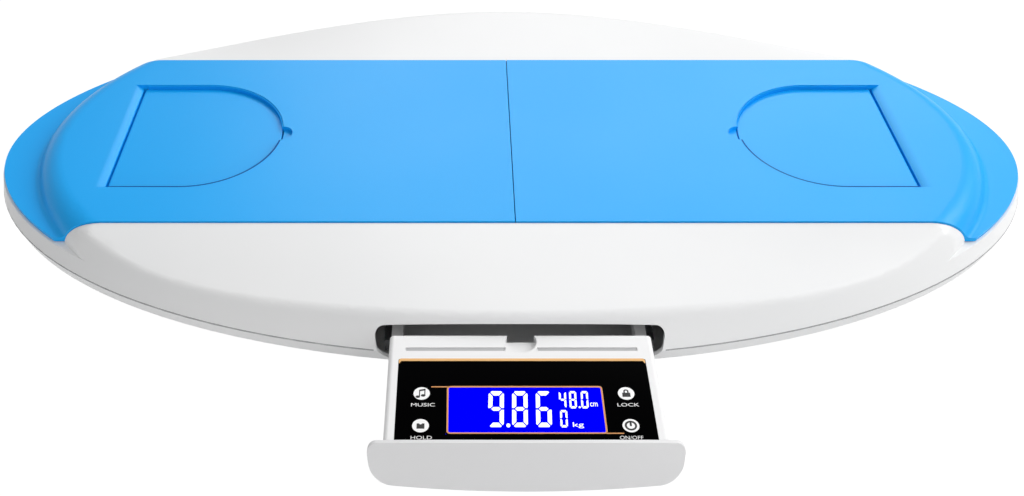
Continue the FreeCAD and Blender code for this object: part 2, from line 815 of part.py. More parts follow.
def make_tray(side):
    name = side_name(side).title() + "Tray"
    outer = feature(name + "Outer", on_side(side, tray_outer_shape()))
    skin = cut(name + "Skin", outer, feature(name + "Inner", on_side(side, tray_inner_shape())))
    recess_floor = f"({FLAP_BOTTOM} - flap_floor_gap)"
    notch_floor = "(deck_height - notch_depth)"
    above = f"deck_height + {OVER}"
    notch = (at(side, f"{HINGE} - flap_length"), "0")
    backing = flap_outline(name + "Backing", side, "flap_groove + tray_skin",
                           "flap_groove + ramp_width + tray_skin",
                           (f"{recess_floor} - tray_skin", "deck_height"))
    under_notch = round_bar(name + "UnderNotch", *notch, (f"{notch_floor} - tray_skin", "deck_height"),
                            "notch_radius + tray_skin")
    backings = join(name + "Backings", backing, under_notch)
    solids = [skin, common(name + "Backed", backings, outer)]
    tools = [
        flap_outline(name + "Recess", side, "flap_groove", "flap_groove", (recess_floor, above)),
        feature(name + "Ramp", on_side(side, ramp_shape())),
        round_bar(name + "Notch", *notch, (notch_floor, above), "notch_radius")]
    for x, y in post_places(side):
        solids.append(round_bar(name + "Post", x, y, (POST_FOOT, "deck_height - tray_skin / 2"),
                                "post_radius"))
        tools.append(round_bar(name + "PostPilot", x, y,
                               (f"{POST_FOOT} - {OVER}", f"{POST_FOOT} + tray_screw_length"), HOLE_RADIUS))
    reach = "flap_width / 2 + flap_groove + pin_in_tray + pin_clearance"
    tools.append(lying_bar(name + "PinBore", at(side, PIN_PLACE), (f"-({reach})", reach), PIN_HEIGHT,
                           "pin_radius + pin_clearance", "Y"))
    keep(side_name(side) + "_tray", cut(name, join(name + "Walls", *solids), *tools))


def make_flap(side):
    name = side_name(side).title() + "Flap"
    z = (FLAP_BOTTOM, FLAP_TOP)
    half = "flap_width / 2"
    leaf = flap_outline(name + "Leaf", side, "0", "-flap_thickness / 2", z)
    knuckle = lying_bar(name + "Knuckle", at(side, PIN_PLACE), (f"-{half}", half), PIN_HEIGHT,
                        "flap_thickness / 2", "Y")
    tools, pins = [], []
    for row in (-1, 1):
        inner = f"{half} - pin_length + flap_groove + pin_in_tray"
        outer = f"{half} + flap_groove + pin_in_tray"
        tools.append(lying_bar(name + "PinHole", at(side, PIN_PLACE),
                               either(row, inner, f"{half} + {OVER}"), PIN_HEIGHT, "pin_radius", "Y"))
        pins.append(lying_bar(name + "Pin", at(side, PIN_PLACE), either(row, inner, outer), PIN_HEIGHT,
                              "pin_radius", "Y"))
    keep(side_name(side) + "_flap", cut(name, join(name + "Whole", leaf, knuckle), *tools))
    keep(side_name(side) + "_flap_pins", group(name + "Pins", *pins))


def rack_post(side):
    """The left tray drives the rear rack from its rear inner post, the right one the front rack."""
    return (at(side, "inner_post_place"), at(-side, "post_offset"))


def make_glides(side):
    """A washer under every post but the one that carries the rack, and a screw under all four."""
    name = side_name(side).title()
    glides, screws = [], []
    for x, y in post_places(side):
        thickness = "rack_thickness"
        if (x, y) != rack_post(side):
            thickness = "glide_thickness"
            glides.append(ring(name + "Glide", x, y, (f"{POST_FOOT} - {thickness}", POST_FOOT),
                               "glide_radius", HOLE_RADIUS))
        head = f"({POST_FOOT} - {thickness} - screw_head_height)"
        screws.append(screw(name + "TrayScrew", x, y, head, f"{thickness} + tray_screw_length"))
    keep(side_name(side) + "_tray_glides", group(name + "Glides", *glides))
    keep(side_name(side) + "_tray_screws", group(name + "TrayScrews", *screws))


def add_teeth(body, outline, pattern_type):
    """Pad one tooth and start its pattern; the body's tip moves to the pattern."""
    sketch = add_sketch(body, "XY_Plane", RACK_BOTTOM)
    draw_outline(sketch, outline)
    tooth = pad(body, sketch, "rack_thickness")
    pattern = body.newObject(pattern_type, body.Name + "Teeth")
    pattern.Originals = [tooth]
    body.Tip = pattern
    return sketch, pattern


def tooth_half_width(depth):
    """Half the width of a tooth at a depth above (+) or below (-) the pitch line."""
    return f"(pi * gear_module / 4 - tooth_clearance / 2 - tan(20 deg) * ({depth}))"


def make_rack(side):
    """A toothed bar along X with an arm to its tray; the right rack is the left one turned half round."""
    body = new_body(side_name(side).title() + "Rack")
    if side > 0:
        body.Placement.Rotation = FreeCAD.Rotation(FreeCAD.Vector(0, 0, 1), 180)
    far = f"({RACK_ROOT} + rack_width)"
    arm = ("-inner_post_place - arm_length / 2", "-inner_post_place + arm_length / 2")
    end = f"({TRAY_TRAVEL} + rack_overrun)"
    sketch = add_sketch(body, "XY_Plane", RACK_BOTTOM)
    draw_outline(sketch, [(arm[0], RACK_ROOT), (end, RACK_ROOT), (end, far), (arm[1], far),
                          (arm[1], "post_offset + glide_radius"), (arm[0], "post_offset + glide_radius")])
    draw_circle(sketch, "-inner_post_place", "post_offset", HOLE_RADIUS)
    pad(body, sketch, "rack_thickness")
    pitch = math.pi * read("gear_module")
    before = math.ceil(read("rack_overrun") / pitch)
    count = math.floor(value(end) / pitch) + before
    middle = f"(({0.5 - before}) * pi * gear_module)"
    root, tip = tooth_half_width("-gear_module - tooth_clearance"), tooth_half_width("gear_module")
    sketch, pattern = add_teeth(body, [
        (f"{middle} - {tip}", f"{PITCH_RADIUS} - gear_module"),
        (f"{middle} + {tip}", f"{PITCH_RADIUS} - gear_module"),
        (f"{middle} + {root}", RACK_ROOT), (f"{middle} + {root}", f"{RACK_ROOT} + rack_width / 4"),
        (f"{middle} - {root}", f"{RACK_ROOT} + rack_width / 4"), (f"{middle} - {root}", RACK_ROOT),
    ], "PartDesign::LinearPattern")
    pattern.Direction = (sketch, ["H_Axis"])
    pattern.Occurrences = count
    bind(pattern, Length=f"{count - 1} * pi * gear_module")
    keep(side_name(side) + "_rack", body)


def make_pinion():
    """The pinion and the shaft that turns in the length sensor."""
    root = f"({PITCH_RADIUS} - gear_module - tooth_clearance)"
    foot = f"({MAIN_BOARD_TOP} + sensor_floor + sensor_gap)"
    body = turned("EncoderPinion", [
        ("0", foot), ("pinion_shaft_radius", foot),
        ("pinion_shaft_radius", RACK_BOTTOM), (root, RACK_BOTTOM), (root, POST_FOOT), ("0", POST_FOOT)])
    base, tip = tooth_half_width("-gear_module / 2"), tooth_half_width("gear_module")
    sketch, pattern = add_teeth(body, [
        (f"-{base}", f"{root} - gear_module / 2"), (base, f"{root} - gear_module / 2"),
        (base, f"{PITCH_RADIUS} - gear_module / 2"), (tip, f"{PITCH_RADIUS} + gear_module"),
        (f"-{tip}", f"{PITCH_RADIUS} + gear_module"), (f"-{base}", f"{PITCH_RADIUS} - gear_module / 2"),
    ], "PartDesign::PolarPattern")
    pattern.Axis = (sketch, ["N_Axis"])
    pattern.Angle = 360
    bind(pattern, Occurrences="pinion_teeth")
    keep("encoder_pinion", body)


def make_sensor():
    top = f"({RACK_BOTTOM} - sensor_gap)"
    hole = f"({MAIN_BOARD_TOP} + sensor_floor)"
    keep("encoder_body", turned("EncoderBody", [
        ("0", MAIN_BOARD_TOP), ("sensor_radius", MAIN_BOARD_TOP), ("sensor_radius", top),
        (SHAFT_HOLE_RADIUS, top), (SHAFT_HOLE_RADIUS, hole), ("0", hole)]))


# ---- readout drawer --------------------------------------------------------------------------

def drawer_block(name, half_width, rear, z):
    """A block of the drawer, from its rear forward past the curved front."""
    return block(name, (f"-({half_width})", half_width), (f"-{FAR}", rear), z)


def inside_front(name, solid, gap):
    """Trim a block of the drawer to lie behind its curved front, a gap away from the front's back."""
    inset = read("front_thickness") + read("front_seat_gap") + gap
    behind = wall_shape(inset, read("underside_height"), read("deck_height"))
    return common(name, solid, feature(name + "Behind", behind, "-drawer_travel"))


def make_drawer_front():
    thickness = read("front_thickness")
    low, high = read("underside_height"), read("deck_height")
    rim = wall_shape(0, low, high).cut(wall_shape(thickness, low, high))
    outline = feature("FrontOutline", front_block(0, 0), "-drawer_travel")
    front_rim = feature("FrontRim", rim, "-drawer_travel")
    keep("drawer_front_plate", common("DrawerFront", outline, front_rim))


def window(name, gap, z):
    """The readout's window, as a block to cut with or the glass that fills it."""
    y = (f"{DISPLAY_PLACE} - window_depth / 2 - {gap}", f"{DISPLAY_PLACE} + window_depth / 2 + {gap}")
    return block(name, (f"-{WINDOW_HALF} - {gap}", f"{WINDOW_HALF} + {gap}"), y, z)


BUTTONS = {"music_button": (-1, 1), "hold_button": (-1, -1), "lock_button": (1, 1),
           "power_button": (1, -1)}


def button_places():
    return [(at(side, BUTTON_PLACE), f"{DISPLAY_PLACE} + {at(row, 'button_rows / 2')}")
            for side, row in BUTTONS.values()]


def drawer_screw_places():
    return [(at(side, f"{CASE_INNER_HALF} - drawer_screw_inset"), f"{DISPLAY_PLACE} + {back}")
            for side in (-1, 1) for back in ("0", "drawer_screw_rows")]


def guide_height():
    """The heights between which the side grooves run."""
    low = f"({CASE_BOTTOM} + guide_lift)"
    return low, f"({low} + guide_height)"


def case_walls():
    """The open-bottomed case with its tail, which stays in the rails when the drawer is out."""
    solid = drawer_block("CaseBlock", CASE_HALF, CASE_REAR, (CASE_BOTTOM, CASE_TOP))
    outer = inside_front("CaseOuter", solid, 0)
    hollow = drawer_block("CaseHollow", CASE_INNER_HALF, f"{CASE_REAR} - case_wall",
                          (f"{CASE_BOTTOM} - {OVER}", CASE_DECK_UNDERSIDE))
    shell = cut("CaseShell", outer, inside_front("CaseInner", hollow, read("case_wall")))
    tail_outer = block("TailOuter", (f"-{CASE_HALF}", CASE_HALF),
                       (f"{CASE_REAR} - case_wall / 2", TAIL_REAR),
                       (CASE_BOTTOM, f"{CASE_BOTTOM} + tail_height"))
    tail_inner = block("TailInner", (f"-{CASE_INNER_HALF}", CASE_INNER_HALF),
                       (CASE_REAR, f"{TAIL_REAR} - case_side"), (f"{CASE_BOTTOM} - {OVER}", CASE_TOP))
    solids = [shell, cut("CaseTail", tail_outer, tail_inner)]
    for x, y in drawer_screw_places():
        boss_z = (DISPLAY_BOARD_TOP, f"{CASE_DECK_UNDERSIDE} + case_deck / 2")
        solids.append(round_bar("CaseBoss", x, y, boss_z, "board_post_radius"))
    return join("CaseWalls", *solids)


def ledge_cuts():
    """The thumb notch and the two shallow grooves in the strip behind the panel."""
    above = f"{CASE_TOP} + {OVER}"
    middle = f"{CASE_REAR} - ledge_groove_place"
    groove_y = (f"{middle} - ledge_groove_width / 2", f"{middle} + ledge_groove_width / 2")
    thumb_z = (f"{CASE_TOP} - thumb_depth", above)
    tools = [round_bar("Thumb", "0", f"{CASE_REAR} - thumb_radius / 2", thumb_z, "thumb_radius")]
    for side in (-1, 1):
        groove_x = either(side, "thumb_radius", f"{CASE_HALF} - ledge_groove_inset")
        tools.append(block("LedgeGroove", groove_x, groove_y, (f"{CASE_TOP} - ledge_groove_depth", above)))
    return tools


def make_drawer_case():
    above = f"{CASE_TOP} + {OVER}"
    seat_rear = f"{PANEL_REAR} + front_seat_gap"
    tools = [
        window("CaseWindow", "window_gap", (CASE_BOTTOM, above)),
        drawer_block("PanelSeat", f"{PANEL_HALF} + front_seat_gap", seat_rear,
                     (f"{CASE_TOP} - panel_thickness", above)), *ledge_cuts()]
    for x, y in drawer_screw_places():
        pilot_top = f"{CASE_BOTTOM} + screw_head_height + drawer_screw_length + {OVER}"
        tools.append(round_bar("CasePilot", x, y, (CASE_BOTTOM, pilot_top), HOLE_RADIUS))
    for x, y in button_places():
        tools.append(round_bar("CaseButtonHole", x, y, (DISPLAY_BOARD_TOP, above),
                               "button_radius + button_gap"))
    for side in (-1, 1):
        groove_x = either(side, f"{CASE_HALF} - guide_depth", f"{CASE_HALF} + {OVER}")
        groove_y = (f"{RAIL_FRONT} - drawer_travel - guide_clearance", f"{TAIL_REAR} + {OVER}")
        tools.append(block("SideGroove", groove_x, groove_y, guide_height()))
    keep("drawer_case", cut("DrawerCase", case_walls(), *tools))


def make_drawer_cover():
    """The plate under the drawer, with the posts that carry the readout's board."""
    rear = f"{CASE_REAR} - case_wall - cover_gap"
    plate = drawer_block("CoverBlock", f"{CASE_INNER_HALF} - cover_gap", rear,
                         (CASE_BOTTOM, f"{CASE_BOTTOM} + cover_thickness"))
    solids = [inside_front("CoverPlate", plate, read("case_wall") + read("cover_gap"))]
    tools = []
    for x, y in drawer_screw_places():
        solids.append(round_bar("CoverPost", x, y, (CASE_BOTTOM, f"{DISPLAY_BOARD_TOP} - board_thickness"),
                                "boss_radius"))
        tools.append(round_bar("CoverHead", x, y,
                               (f"{CASE_BOTTOM} - {OVER}", f"{CASE_BOTTOM} + screw_head_height"),
                               "screw_head_radius + slide_clearance"))
        tools.append(round_bar("CoverHole", x, y, (CASE_BOTTOM, CASE_TOP), HOLE_RADIUS))
    keep("drawer_base_cover", cut("DrawerCover", join("CoverWalls", *solids), *tools))
    keep("drawer_screws", group("DrawerScrews", *[
        screw("DrawerScrew", x, y, CASE_BOTTOM, "drawer_screw_length") for x, y in drawer_screw_places()]))


def make_rail(side):
    """A fixed side rail: a web that stands on the bottom shell and a rib in the drawer's groove."""
    name = side_name(side).title() + "Rail"
    low, high = guide_height()
    thick = either(side, RAIL_NEAR, f"{RAIL_NEAR} + rail_thickness")
    rail_y = (RAIL_FRONT, RAIL_REAR)
    web = block(name + "Web", thick, ("rail_foot_inset - body_depth / 2", RAIL_REAR),
                (BASE_FLOOR, f"{high} + rail_rise"))
    bar = block(name + "Bar", thick, rail_y, (f"{low} - rail_rise", f"{high} + rail_rise"))
    rib = block(name + "Rib", either(side, f"{CASE_HALF} - guide_depth + guide_clearance", RAIL_NEAR),
                rail_y, (f"{low} + guide_clearance", f"{high} - guide_clearance"))
    keep(side_name(side) + "_drawer_rail", join(name, web, bar, rib))


def make_panel():
    sheet_z = (f"{CASE_TOP} - panel_thickness", CASE_TOP)
    through = (CASE_BOTTOM, f"{CASE_TOP} + {OVER}")
    solid = drawer_block("PanelBlock", PANEL_HALF, PANEL_REAR, sheet_z)
    blank = inside_front("PanelSheet", solid, 0)
    tools = [window("PanelWindow", "window_gap", through)]
    for x, y in button_places():
        tools.append(round_bar("PanelButtonHole", x, y, through, "button_radius + button_gap"))
    keep("display_panel", cut("DisplayPanel", blank, *tools))


def make_display():
    """The readout module with its raised glass, on its board."""
    glass = window("ModuleGlass", "0", (DISPLAY_BOARD_TOP, f"{CASE_TOP} - glass_sink"))
    half_length = f"{WINDOW_HALF} + module_side_border"
    body = block("ModuleBody", (f"-({half_length})", half_length),
                 (f"{DISPLAY_PLACE} - window_depth / 2 - module_edge_border",
                  f"{DISPLAY_PLACE} + window_depth / 2 + module_edge_border"),
                 (DISPLAY_BOARD_TOP, f"{CASE_DECK_UNDERSIDE} - slide_clearance"))
    keep("lcd_module", join("LcdModule", body, glass))
    board = new_body("DisplayBoard")
    sketch = add_sketch(board, "XY_Plane", f"{DISPLAY_BOARD_TOP} - board_thickness")
    half_length = f"({CASE_INNER_HALF} - display_board_gap)"
    draw_rectangle(sketch, (f"-{half_length}", half_length),
                   (f"{DISPLAY_PLACE} - display_board_front", f"{DISPLAY_PLACE} + display_board_rear"))
    for x, y in drawer_screw_places():
        draw_circle(sketch, x, y, HOLE_RADIUS)
    pad(board, sketch, "board_thickness")
    keep("display_board", board)


def make_switches():
    top = f"({DISPLAY_BOARD_TOP} + switch_height)"
    switches = []
    for x, y in button_places():
        can = block("SwitchCan", (f"{x} - switch_side / 2", f"{x} + switch_side / 2"),
                    (f"{y} - switch_side / 2", f"{y} + switch_side / 2"), (DISPLAY_BOARD_TOP, top))
        plunger = round_bar("Plunger", x, y, (top, f"{top} + plunger_height"), "plunger_radius")
        switches.append(join("Switch", can, plunger))
    keep("tact_switches", group("TactSwitches", *switches))


def make_button(node, x, y):
    foot = f"({DISPLAY_BOARD_TOP} + switch_height + plunger_height + button_travel + press_gap)"
    flange_top = f"({CASE_DECK_UNDERSIDE} - slide_clearance)"
    flange = "(button_radius + button_flange)"
    keep(node, turned(node.title().replace("_", ""), [
        ("0", foot), ("stem_radius", foot), ("stem_radius", f"{flange_top} - flange_thickness"),
        (flange, f"{flange_top} - flange_thickness"), (flange, flange_top), ("button_radius", flange_top),
        ("button_radius", f"{CASE_TOP} + button_proud"), ("0", f"{CASE_TOP} + button_proud")], x, y))


# ---- electronics in the base -----------------------------------------------------------------

def board_screw(name, x, y):
    """A pan-head screw driven down through the main board."""
    foot = f"({MAIN_BOARD_TOP} - board_screw_length)"
    head = f"({MAIN_BOARD_TOP} + screw_head_height)"
    return turned(name, [
        ("0", foot), ("screw_radius", foot), ("screw_radius", MAIN_BOARD_TOP),
        ("screw_head_radius", MAIN_BOARD_TOP), ("screw_head_radius", head), ("0", head)], x, y)


def make_main_board():
    body = new_body("MainBoard")
    sketch = add_sketch(body, "XY_Plane", f"{MAIN_BOARD_TOP} - board_thickness")
    draw_rectangle(sketch, ("-main_board_length / 2", "main_board_length / 2"),
                   ("-main_board_width / 2", "main_board_width / 2"))
    for x, y in board_screw_places():
        draw_circle(sketch, x, y, HOLE_RADIUS)
    pad(body, sketch, "board_thickness")
    keep("main_board", body)
    screws = [board_screw("BoardScrew", x, y) for x, y in board_screw_places()]
    keep("board_screws", group("BoardScrews", *screws))


def centred(middle, length):
    return f"{middle} - {length} / 2", f"{middle} + {length} / 2"


def make_chips():
    """The controller, the converter of the load cells, and the sockets of the drawer and the battery."""
    chip_z = (MAIN_BOARD_TOP, f"{MAIN_BOARD_TOP} + chip_height")
    socket_z = (MAIN_BOARD_TOP, f"{MAIN_BOARD_TOP} + socket_height")
    row = "(main_board_width / 2 - socket_inset - socket_width / 2)"
    keep("main_board_parts", group(
        "MainBoardParts",
        block("Controller", centred("-controller_place", "controller_side"),
              centred("0", "controller_side"), chip_z),
        block("Converter", centred("converter_place", "converter_side"),
              centred("0", "converter_side"), chip_z),
        block("DrawerSocket", centred("0", "drawer_socket_length"), centred(f"-{row}", "socket_width"),
              socket_z),
        block("BatterySocket", centred("0", "battery_socket_length"), centred(row, "socket_width"),
              socket_z)))


def make_speaker():
    rim_top = f"({BASE_FLOOR} + speaker_height / 3)"
    magnet_top = f"({BASE_FLOOR} + speaker_height)"
    keep("speaker", turned("Speaker", [
        ("0", BASE_FLOOR), ("speaker_radius", BASE_FLOOR), ("speaker_radius", rim_top),
        ("magnet_radius", f"{rim_top} + speaker_height / 6"), ("magnet_radius", magnet_top),
        ("0", magnet_top)], "-speaker_place"))


def make_batteries():
    """Cells side by side, turned about one after the other, each with a spring at its flat end."""
    start = f"bay_place - ({BAY_HALF_LENGTH} - contact_thickness)"
    end = f"bay_place + ({BAY_HALF_LENGTH} - contact_thickness)"
    contact_z = centred(CELL_HEIGHT, "contact_side")
    cells, contacts = [], []
    for number in range(CELLS):
        y = f"{number - (CELLS - 1) / 2} * cell_pitch"
        cell_x, spring_x = (start, f"{start} + cell_length"), (f"{end} - spring_length", end)
        if number % 2:
            cell_x, spring_x = (f"{end} - cell_length", end), (start, f"{start} + spring_length")
        cells.append(lying_bar("Cell", cell_x, y, CELL_HEIGHT, "cell_radius", "X"))
        contacts.append(lying_bar("Spring", spring_x, y, CELL_HEIGHT, "spring_radius", "X"))
        for plate_x in ((f"{start} - contact_thickness", start), (end, f"{end} + contact_thickness")):
            contacts.append(block("Contact", plate_x, centred(y, "contact_side"), contact_z))
    keep("battery_cells", group("BatteryCells", *cells))
    keep("battery_contacts", group("BatteryContacts", *contacts))
    door_half_length = f"({BAY_HALF_LENGTH} - door_gap)"
    door_half_width = f"({BAY_HALF_WIDTH} - door_gap)"
    door_x = (f"bay_place - {door_half_length}", f"bay_place + {door_half_length}")
    keep("battery_door", block("BatteryDoor", door_x, (f"-{door_half_width}", door_half_width),
                               ("underside_height", "underside_height + door_thickness")))


# ---- feet ------------------------------------------------------------------------------------

def make_foot(place_name, x, y):
    """A rubber pad, the cup it is in, and the load cell that carries the casing on the cup."""
    keep("foot_pad_" + place_name, round_bar("FootPad", x, y, ("0", "pad_thickness"), "pad_radius"))
    shoulder = f"({BASE_FLOOR} - slide_clearance)"
    keep("foot_cup_" + place_name, turned("FootCup", [
        ("0", "pad_thickness"), ("foot_radius", "pad_thickness"), ("foot_radius", shoulder),
        ("foot_stem_radius", shoulder), ("foot_stem_radius", CELL_PLATE_BOTTOM),
        ("0", CELL_PLATE_BOTTOM)], x, y))
    body = new_body("LoadCell", x, y)
    sketch = add_sketch(body, "XY_Plane", CELL_PLATE_BOTTOM)
    half = "cell_plate_side / 2"
    draw_rectangle(sketch, (f"-{half}", half), (f"-{half}", half))
    for side in (-1, 1):
        draw_rectangle(sketch, either(side, "cell_slot_place", "cell_slot_place + cell_slot_width"),
                       ("-cell_slot_length / 2", "cell_slot_length / 2"))
    pad(body, sketch, "cell_plate_thickness")
    keep("load_cell_" + place_name, body)


make_top_shell()
make_bottom_shell()
make_shell_screws()
for side in (-1, 1):
    make_tray(side)
    make_flap(side)
    make_glides(side)
    make_rack(side)
    make_rail(side)
make_pinion()
make_sensor()
make_drawer_front()
make_drawer_case()
make_drawer_cover()
make_panel()
make_display()
make_switches()
for node, (x, y) in zip(BUTTONS, button_places()):
    make_button(node, x, y)
make_main_board()
make_chips()
make_speaker()
make_batteries()
for place_name, x, y in foot_places():
    make_foot(place_name, x, y)


# ---- checks and export -----------------------------------------------------------------------

def check_document():
    doc.recompute()
    broken = [item.Label for item in doc.Objects if {"Invalid", "Error"} & set(item.State)]
    for node in nodes:
        shape = node.Shape
        if shape.isNull() or not shape.isValid() or not shape.Solids:
            broken.append(node.Label)
    if broken:
        raise RuntimeError(f"not built: {sorted(set(broken))}")


def export_nodes():
    os.makedirs("parts", exist_ok=True)
    for node in nodes:
        node.Shape.exportStep(f"parts/{node.Label}.step")
        bounds = node.Shape.BoundBox
        print(f"{node.Label}: {len(node.Shape.Solids)} solids, {node.Shape.Volume / 1000:.2f} cm3,",
              f"x {bounds.XMin:.1f}..{bounds.XMax:.1f}, y {bounds.YMin:.1f}..{bounds.YMax:.1f},",
              f"z {bounds.ZMin:.1f}..{bounds.ZMax:.1f}")


check_document()
export_nodes()
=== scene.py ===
import bpy
import bmesh
import json
import math
from mathutils import Matrix, Vector

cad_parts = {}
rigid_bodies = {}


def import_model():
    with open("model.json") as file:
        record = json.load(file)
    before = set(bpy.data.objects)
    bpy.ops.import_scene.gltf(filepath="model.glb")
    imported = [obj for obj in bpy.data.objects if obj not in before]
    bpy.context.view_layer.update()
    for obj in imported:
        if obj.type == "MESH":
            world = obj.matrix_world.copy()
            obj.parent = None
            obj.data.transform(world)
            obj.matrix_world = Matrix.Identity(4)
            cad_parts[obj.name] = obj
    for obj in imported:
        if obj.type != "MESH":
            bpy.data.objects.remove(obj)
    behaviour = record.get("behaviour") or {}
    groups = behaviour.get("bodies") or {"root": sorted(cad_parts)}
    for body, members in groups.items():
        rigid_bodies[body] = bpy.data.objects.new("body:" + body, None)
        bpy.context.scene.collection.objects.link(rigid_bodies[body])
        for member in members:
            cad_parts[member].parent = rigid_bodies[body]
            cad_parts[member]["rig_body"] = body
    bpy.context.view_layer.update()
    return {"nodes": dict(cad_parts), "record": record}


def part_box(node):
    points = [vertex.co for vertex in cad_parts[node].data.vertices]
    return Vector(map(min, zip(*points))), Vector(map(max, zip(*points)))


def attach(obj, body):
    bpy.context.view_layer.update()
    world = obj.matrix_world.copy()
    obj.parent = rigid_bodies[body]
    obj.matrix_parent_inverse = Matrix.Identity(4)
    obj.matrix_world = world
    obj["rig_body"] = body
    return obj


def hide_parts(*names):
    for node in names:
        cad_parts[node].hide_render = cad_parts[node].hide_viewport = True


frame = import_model()
nodes = frame["nodes"]
print("stage: frame loaded,", len(nodes), "nodes")


# small helpers for colours and node trees

def screenColour(red, green, blue):
    # a colour as it is seen on a screen, 0 to 255, turned into the linear values that shaders take
    def linear(level):
        level = level / 255
        return level / 12.92 if level <= 0.04045 else ((level + 0.055) / 1.055) ** 2.4
    return (linear(red), linear(green), linear(blue), 1.0)


def newMaterial(name):
    material = bpy.data.materials.new(name)
    material.use_nodes = True
    tree = material.node_tree
    surface = tree.nodes["Principled BSDF"]
    return material, tree, surface


def addNode(tree, kind, **settings):
    node = tree.nodes.new(kind)
    for name, value in settings.items():
        if name in node.inputs:
            node.inputs[name].default_value = value
        else:
            setattr(node, name, value)
    return node


texture = {
    "noiseReach": (0.3, 0.7), "driftScale": 9.0, "driftShare": 0.05, "grainDetail": 2.0, "bumpHeight": 0.0001,
    "lineScale": 400.0, "lineDetail": 4.0, "lineStretch": (1, 12, 12), "lineShare": 0.3, "lineBump": 0.08,
    "glowScale": 25.0, "glowShare": 0.04, "glowRoughness": 0.25,
}
plainPlastic = {"specular": 0.5, "coat": 0.0, "coatRoughness": 0.06, "grainScale": 1800.0}


def noiseOn(tree, scale, detail=3.0, stretch=(1, 1, 1)):
    # a noise in metres on the piece itself
    place = addNode(tree, "ShaderNodeTexCoord")
    mapping = addNode(tree, "ShaderNodeMapping")
    mapping.inputs["Scale"].default_value = stretch
    noise = addNode(tree, "ShaderNodeTexNoise", Scale=scale, Detail=detail)
    tree.links.new(place.outputs["Object"], mapping.inputs["Vector"])
    tree.links.new(mapping.outputs["Vector"], noise.inputs["Vector"])
    return noise


def drifting(tree, source, middle, share):
    # a value that a noise moves up and down by a share of itself
    scaled = addNode(tree, "ShaderNodeMapRange", interpolation_type="SMOOTHSTEP")
    scaled.inputs["From Min"].default_value, scaled.inputs["From Max"].default_value = texture["noiseReach"]
    scaled.inputs["To Min"].default_value = middle * (1 - share)
    scaled.inputs["To Max"].default_value = middle * (1 + share)
    tree.links.new(source.outputs["Fac"], scaled.inputs["Value"])
    return scaled.outputs["Result"]


def addBump(tree, surface, source, strength):
    bump = addNode(tree, "ShaderNodeBump", Strength=strength, Distance=texture["bumpHeight"])
    tree.links.new(source.outputs["Fac"], bump.inputs["Height"])
    tree.links.new(bump.outputs["Normal"], surface.inputs["Normal"])


def mouldedPlastic(name, finish):
    # plastic from a polished or sparked mould: a soft roughness drift and a very fine grain
    finish = {**plainPlastic, **finish}
    material, tree, surface = newMaterial(name)
    surface.inputs["Specular IOR Level"].default_value = finish["specular"]
    surface.inputs["Coat Weight"].default_value = finish["coat"]
    surface.inputs["Coat Roughness"].default_value = finish["coatRoughness"]
    drift = noiseOn(tree, texture["driftScale"])
    rough = drifting(tree, drift, finish["roughness"], texture["driftShare"])
    tree.links.new(rough, surface.inputs["Roughness"])
    tint = addNode(tree, "ShaderNodeMix", data_type="RGBA")
    tint.inputs["A"].default_value = finish["colour"]
    tint.inputs["B"].default_value = finish.get("colourDeep", finish["colour"])
    tree.links.new(drift.outputs["Fac"], tint.inputs["Factor"])
    tree.links.new(tint.outputs["Result"], surface.inputs["Base Color"])
    addBump(tree, surface, noiseOn(tree, finish["grainScale"], texture["grainDetail"]), finish["grain"])
    return material


def brushedMetal(name, finish):
    # metal with fine lines along one direction
    material, tree, surface = newMaterial(name)
    surface.inputs["Base Color"].default_value = finish["colour"]
    surface.inputs["Metallic"].default_value = 1.0
    lines = noiseOn(tree, texture["lineScale"], texture["lineDetail"], texture["lineStretch"])
    rough = drifting(tree, lines, finish["roughness"], texture["lineShare"])
    tree.links.new(rough, surface.inputs["Roughness"])
    addBump(tree, surface, lines, texture["lineBump"])
    return material


def glowing(name, finish):
    # a lit surface, such as the backlit readout and its digits
    material, tree, surface = newMaterial(name)
    surface.inputs["Base Color"].default_value = finish["colour"]
    surface.inputs["Roughness"].default_value = texture["glowRoughness"]
    surface.inputs["Specular IOR Level"].default_value = finish["specular"]
    strength = drifting(tree, noiseOn(tree, texture["glowScale"]), finish["glow"], texture["glowShare"])
    surface.inputs["Emission Color"].default_value = finish["light"]
    tree.links.new(strength, surface.inputs["Emission Strength"])
    return material


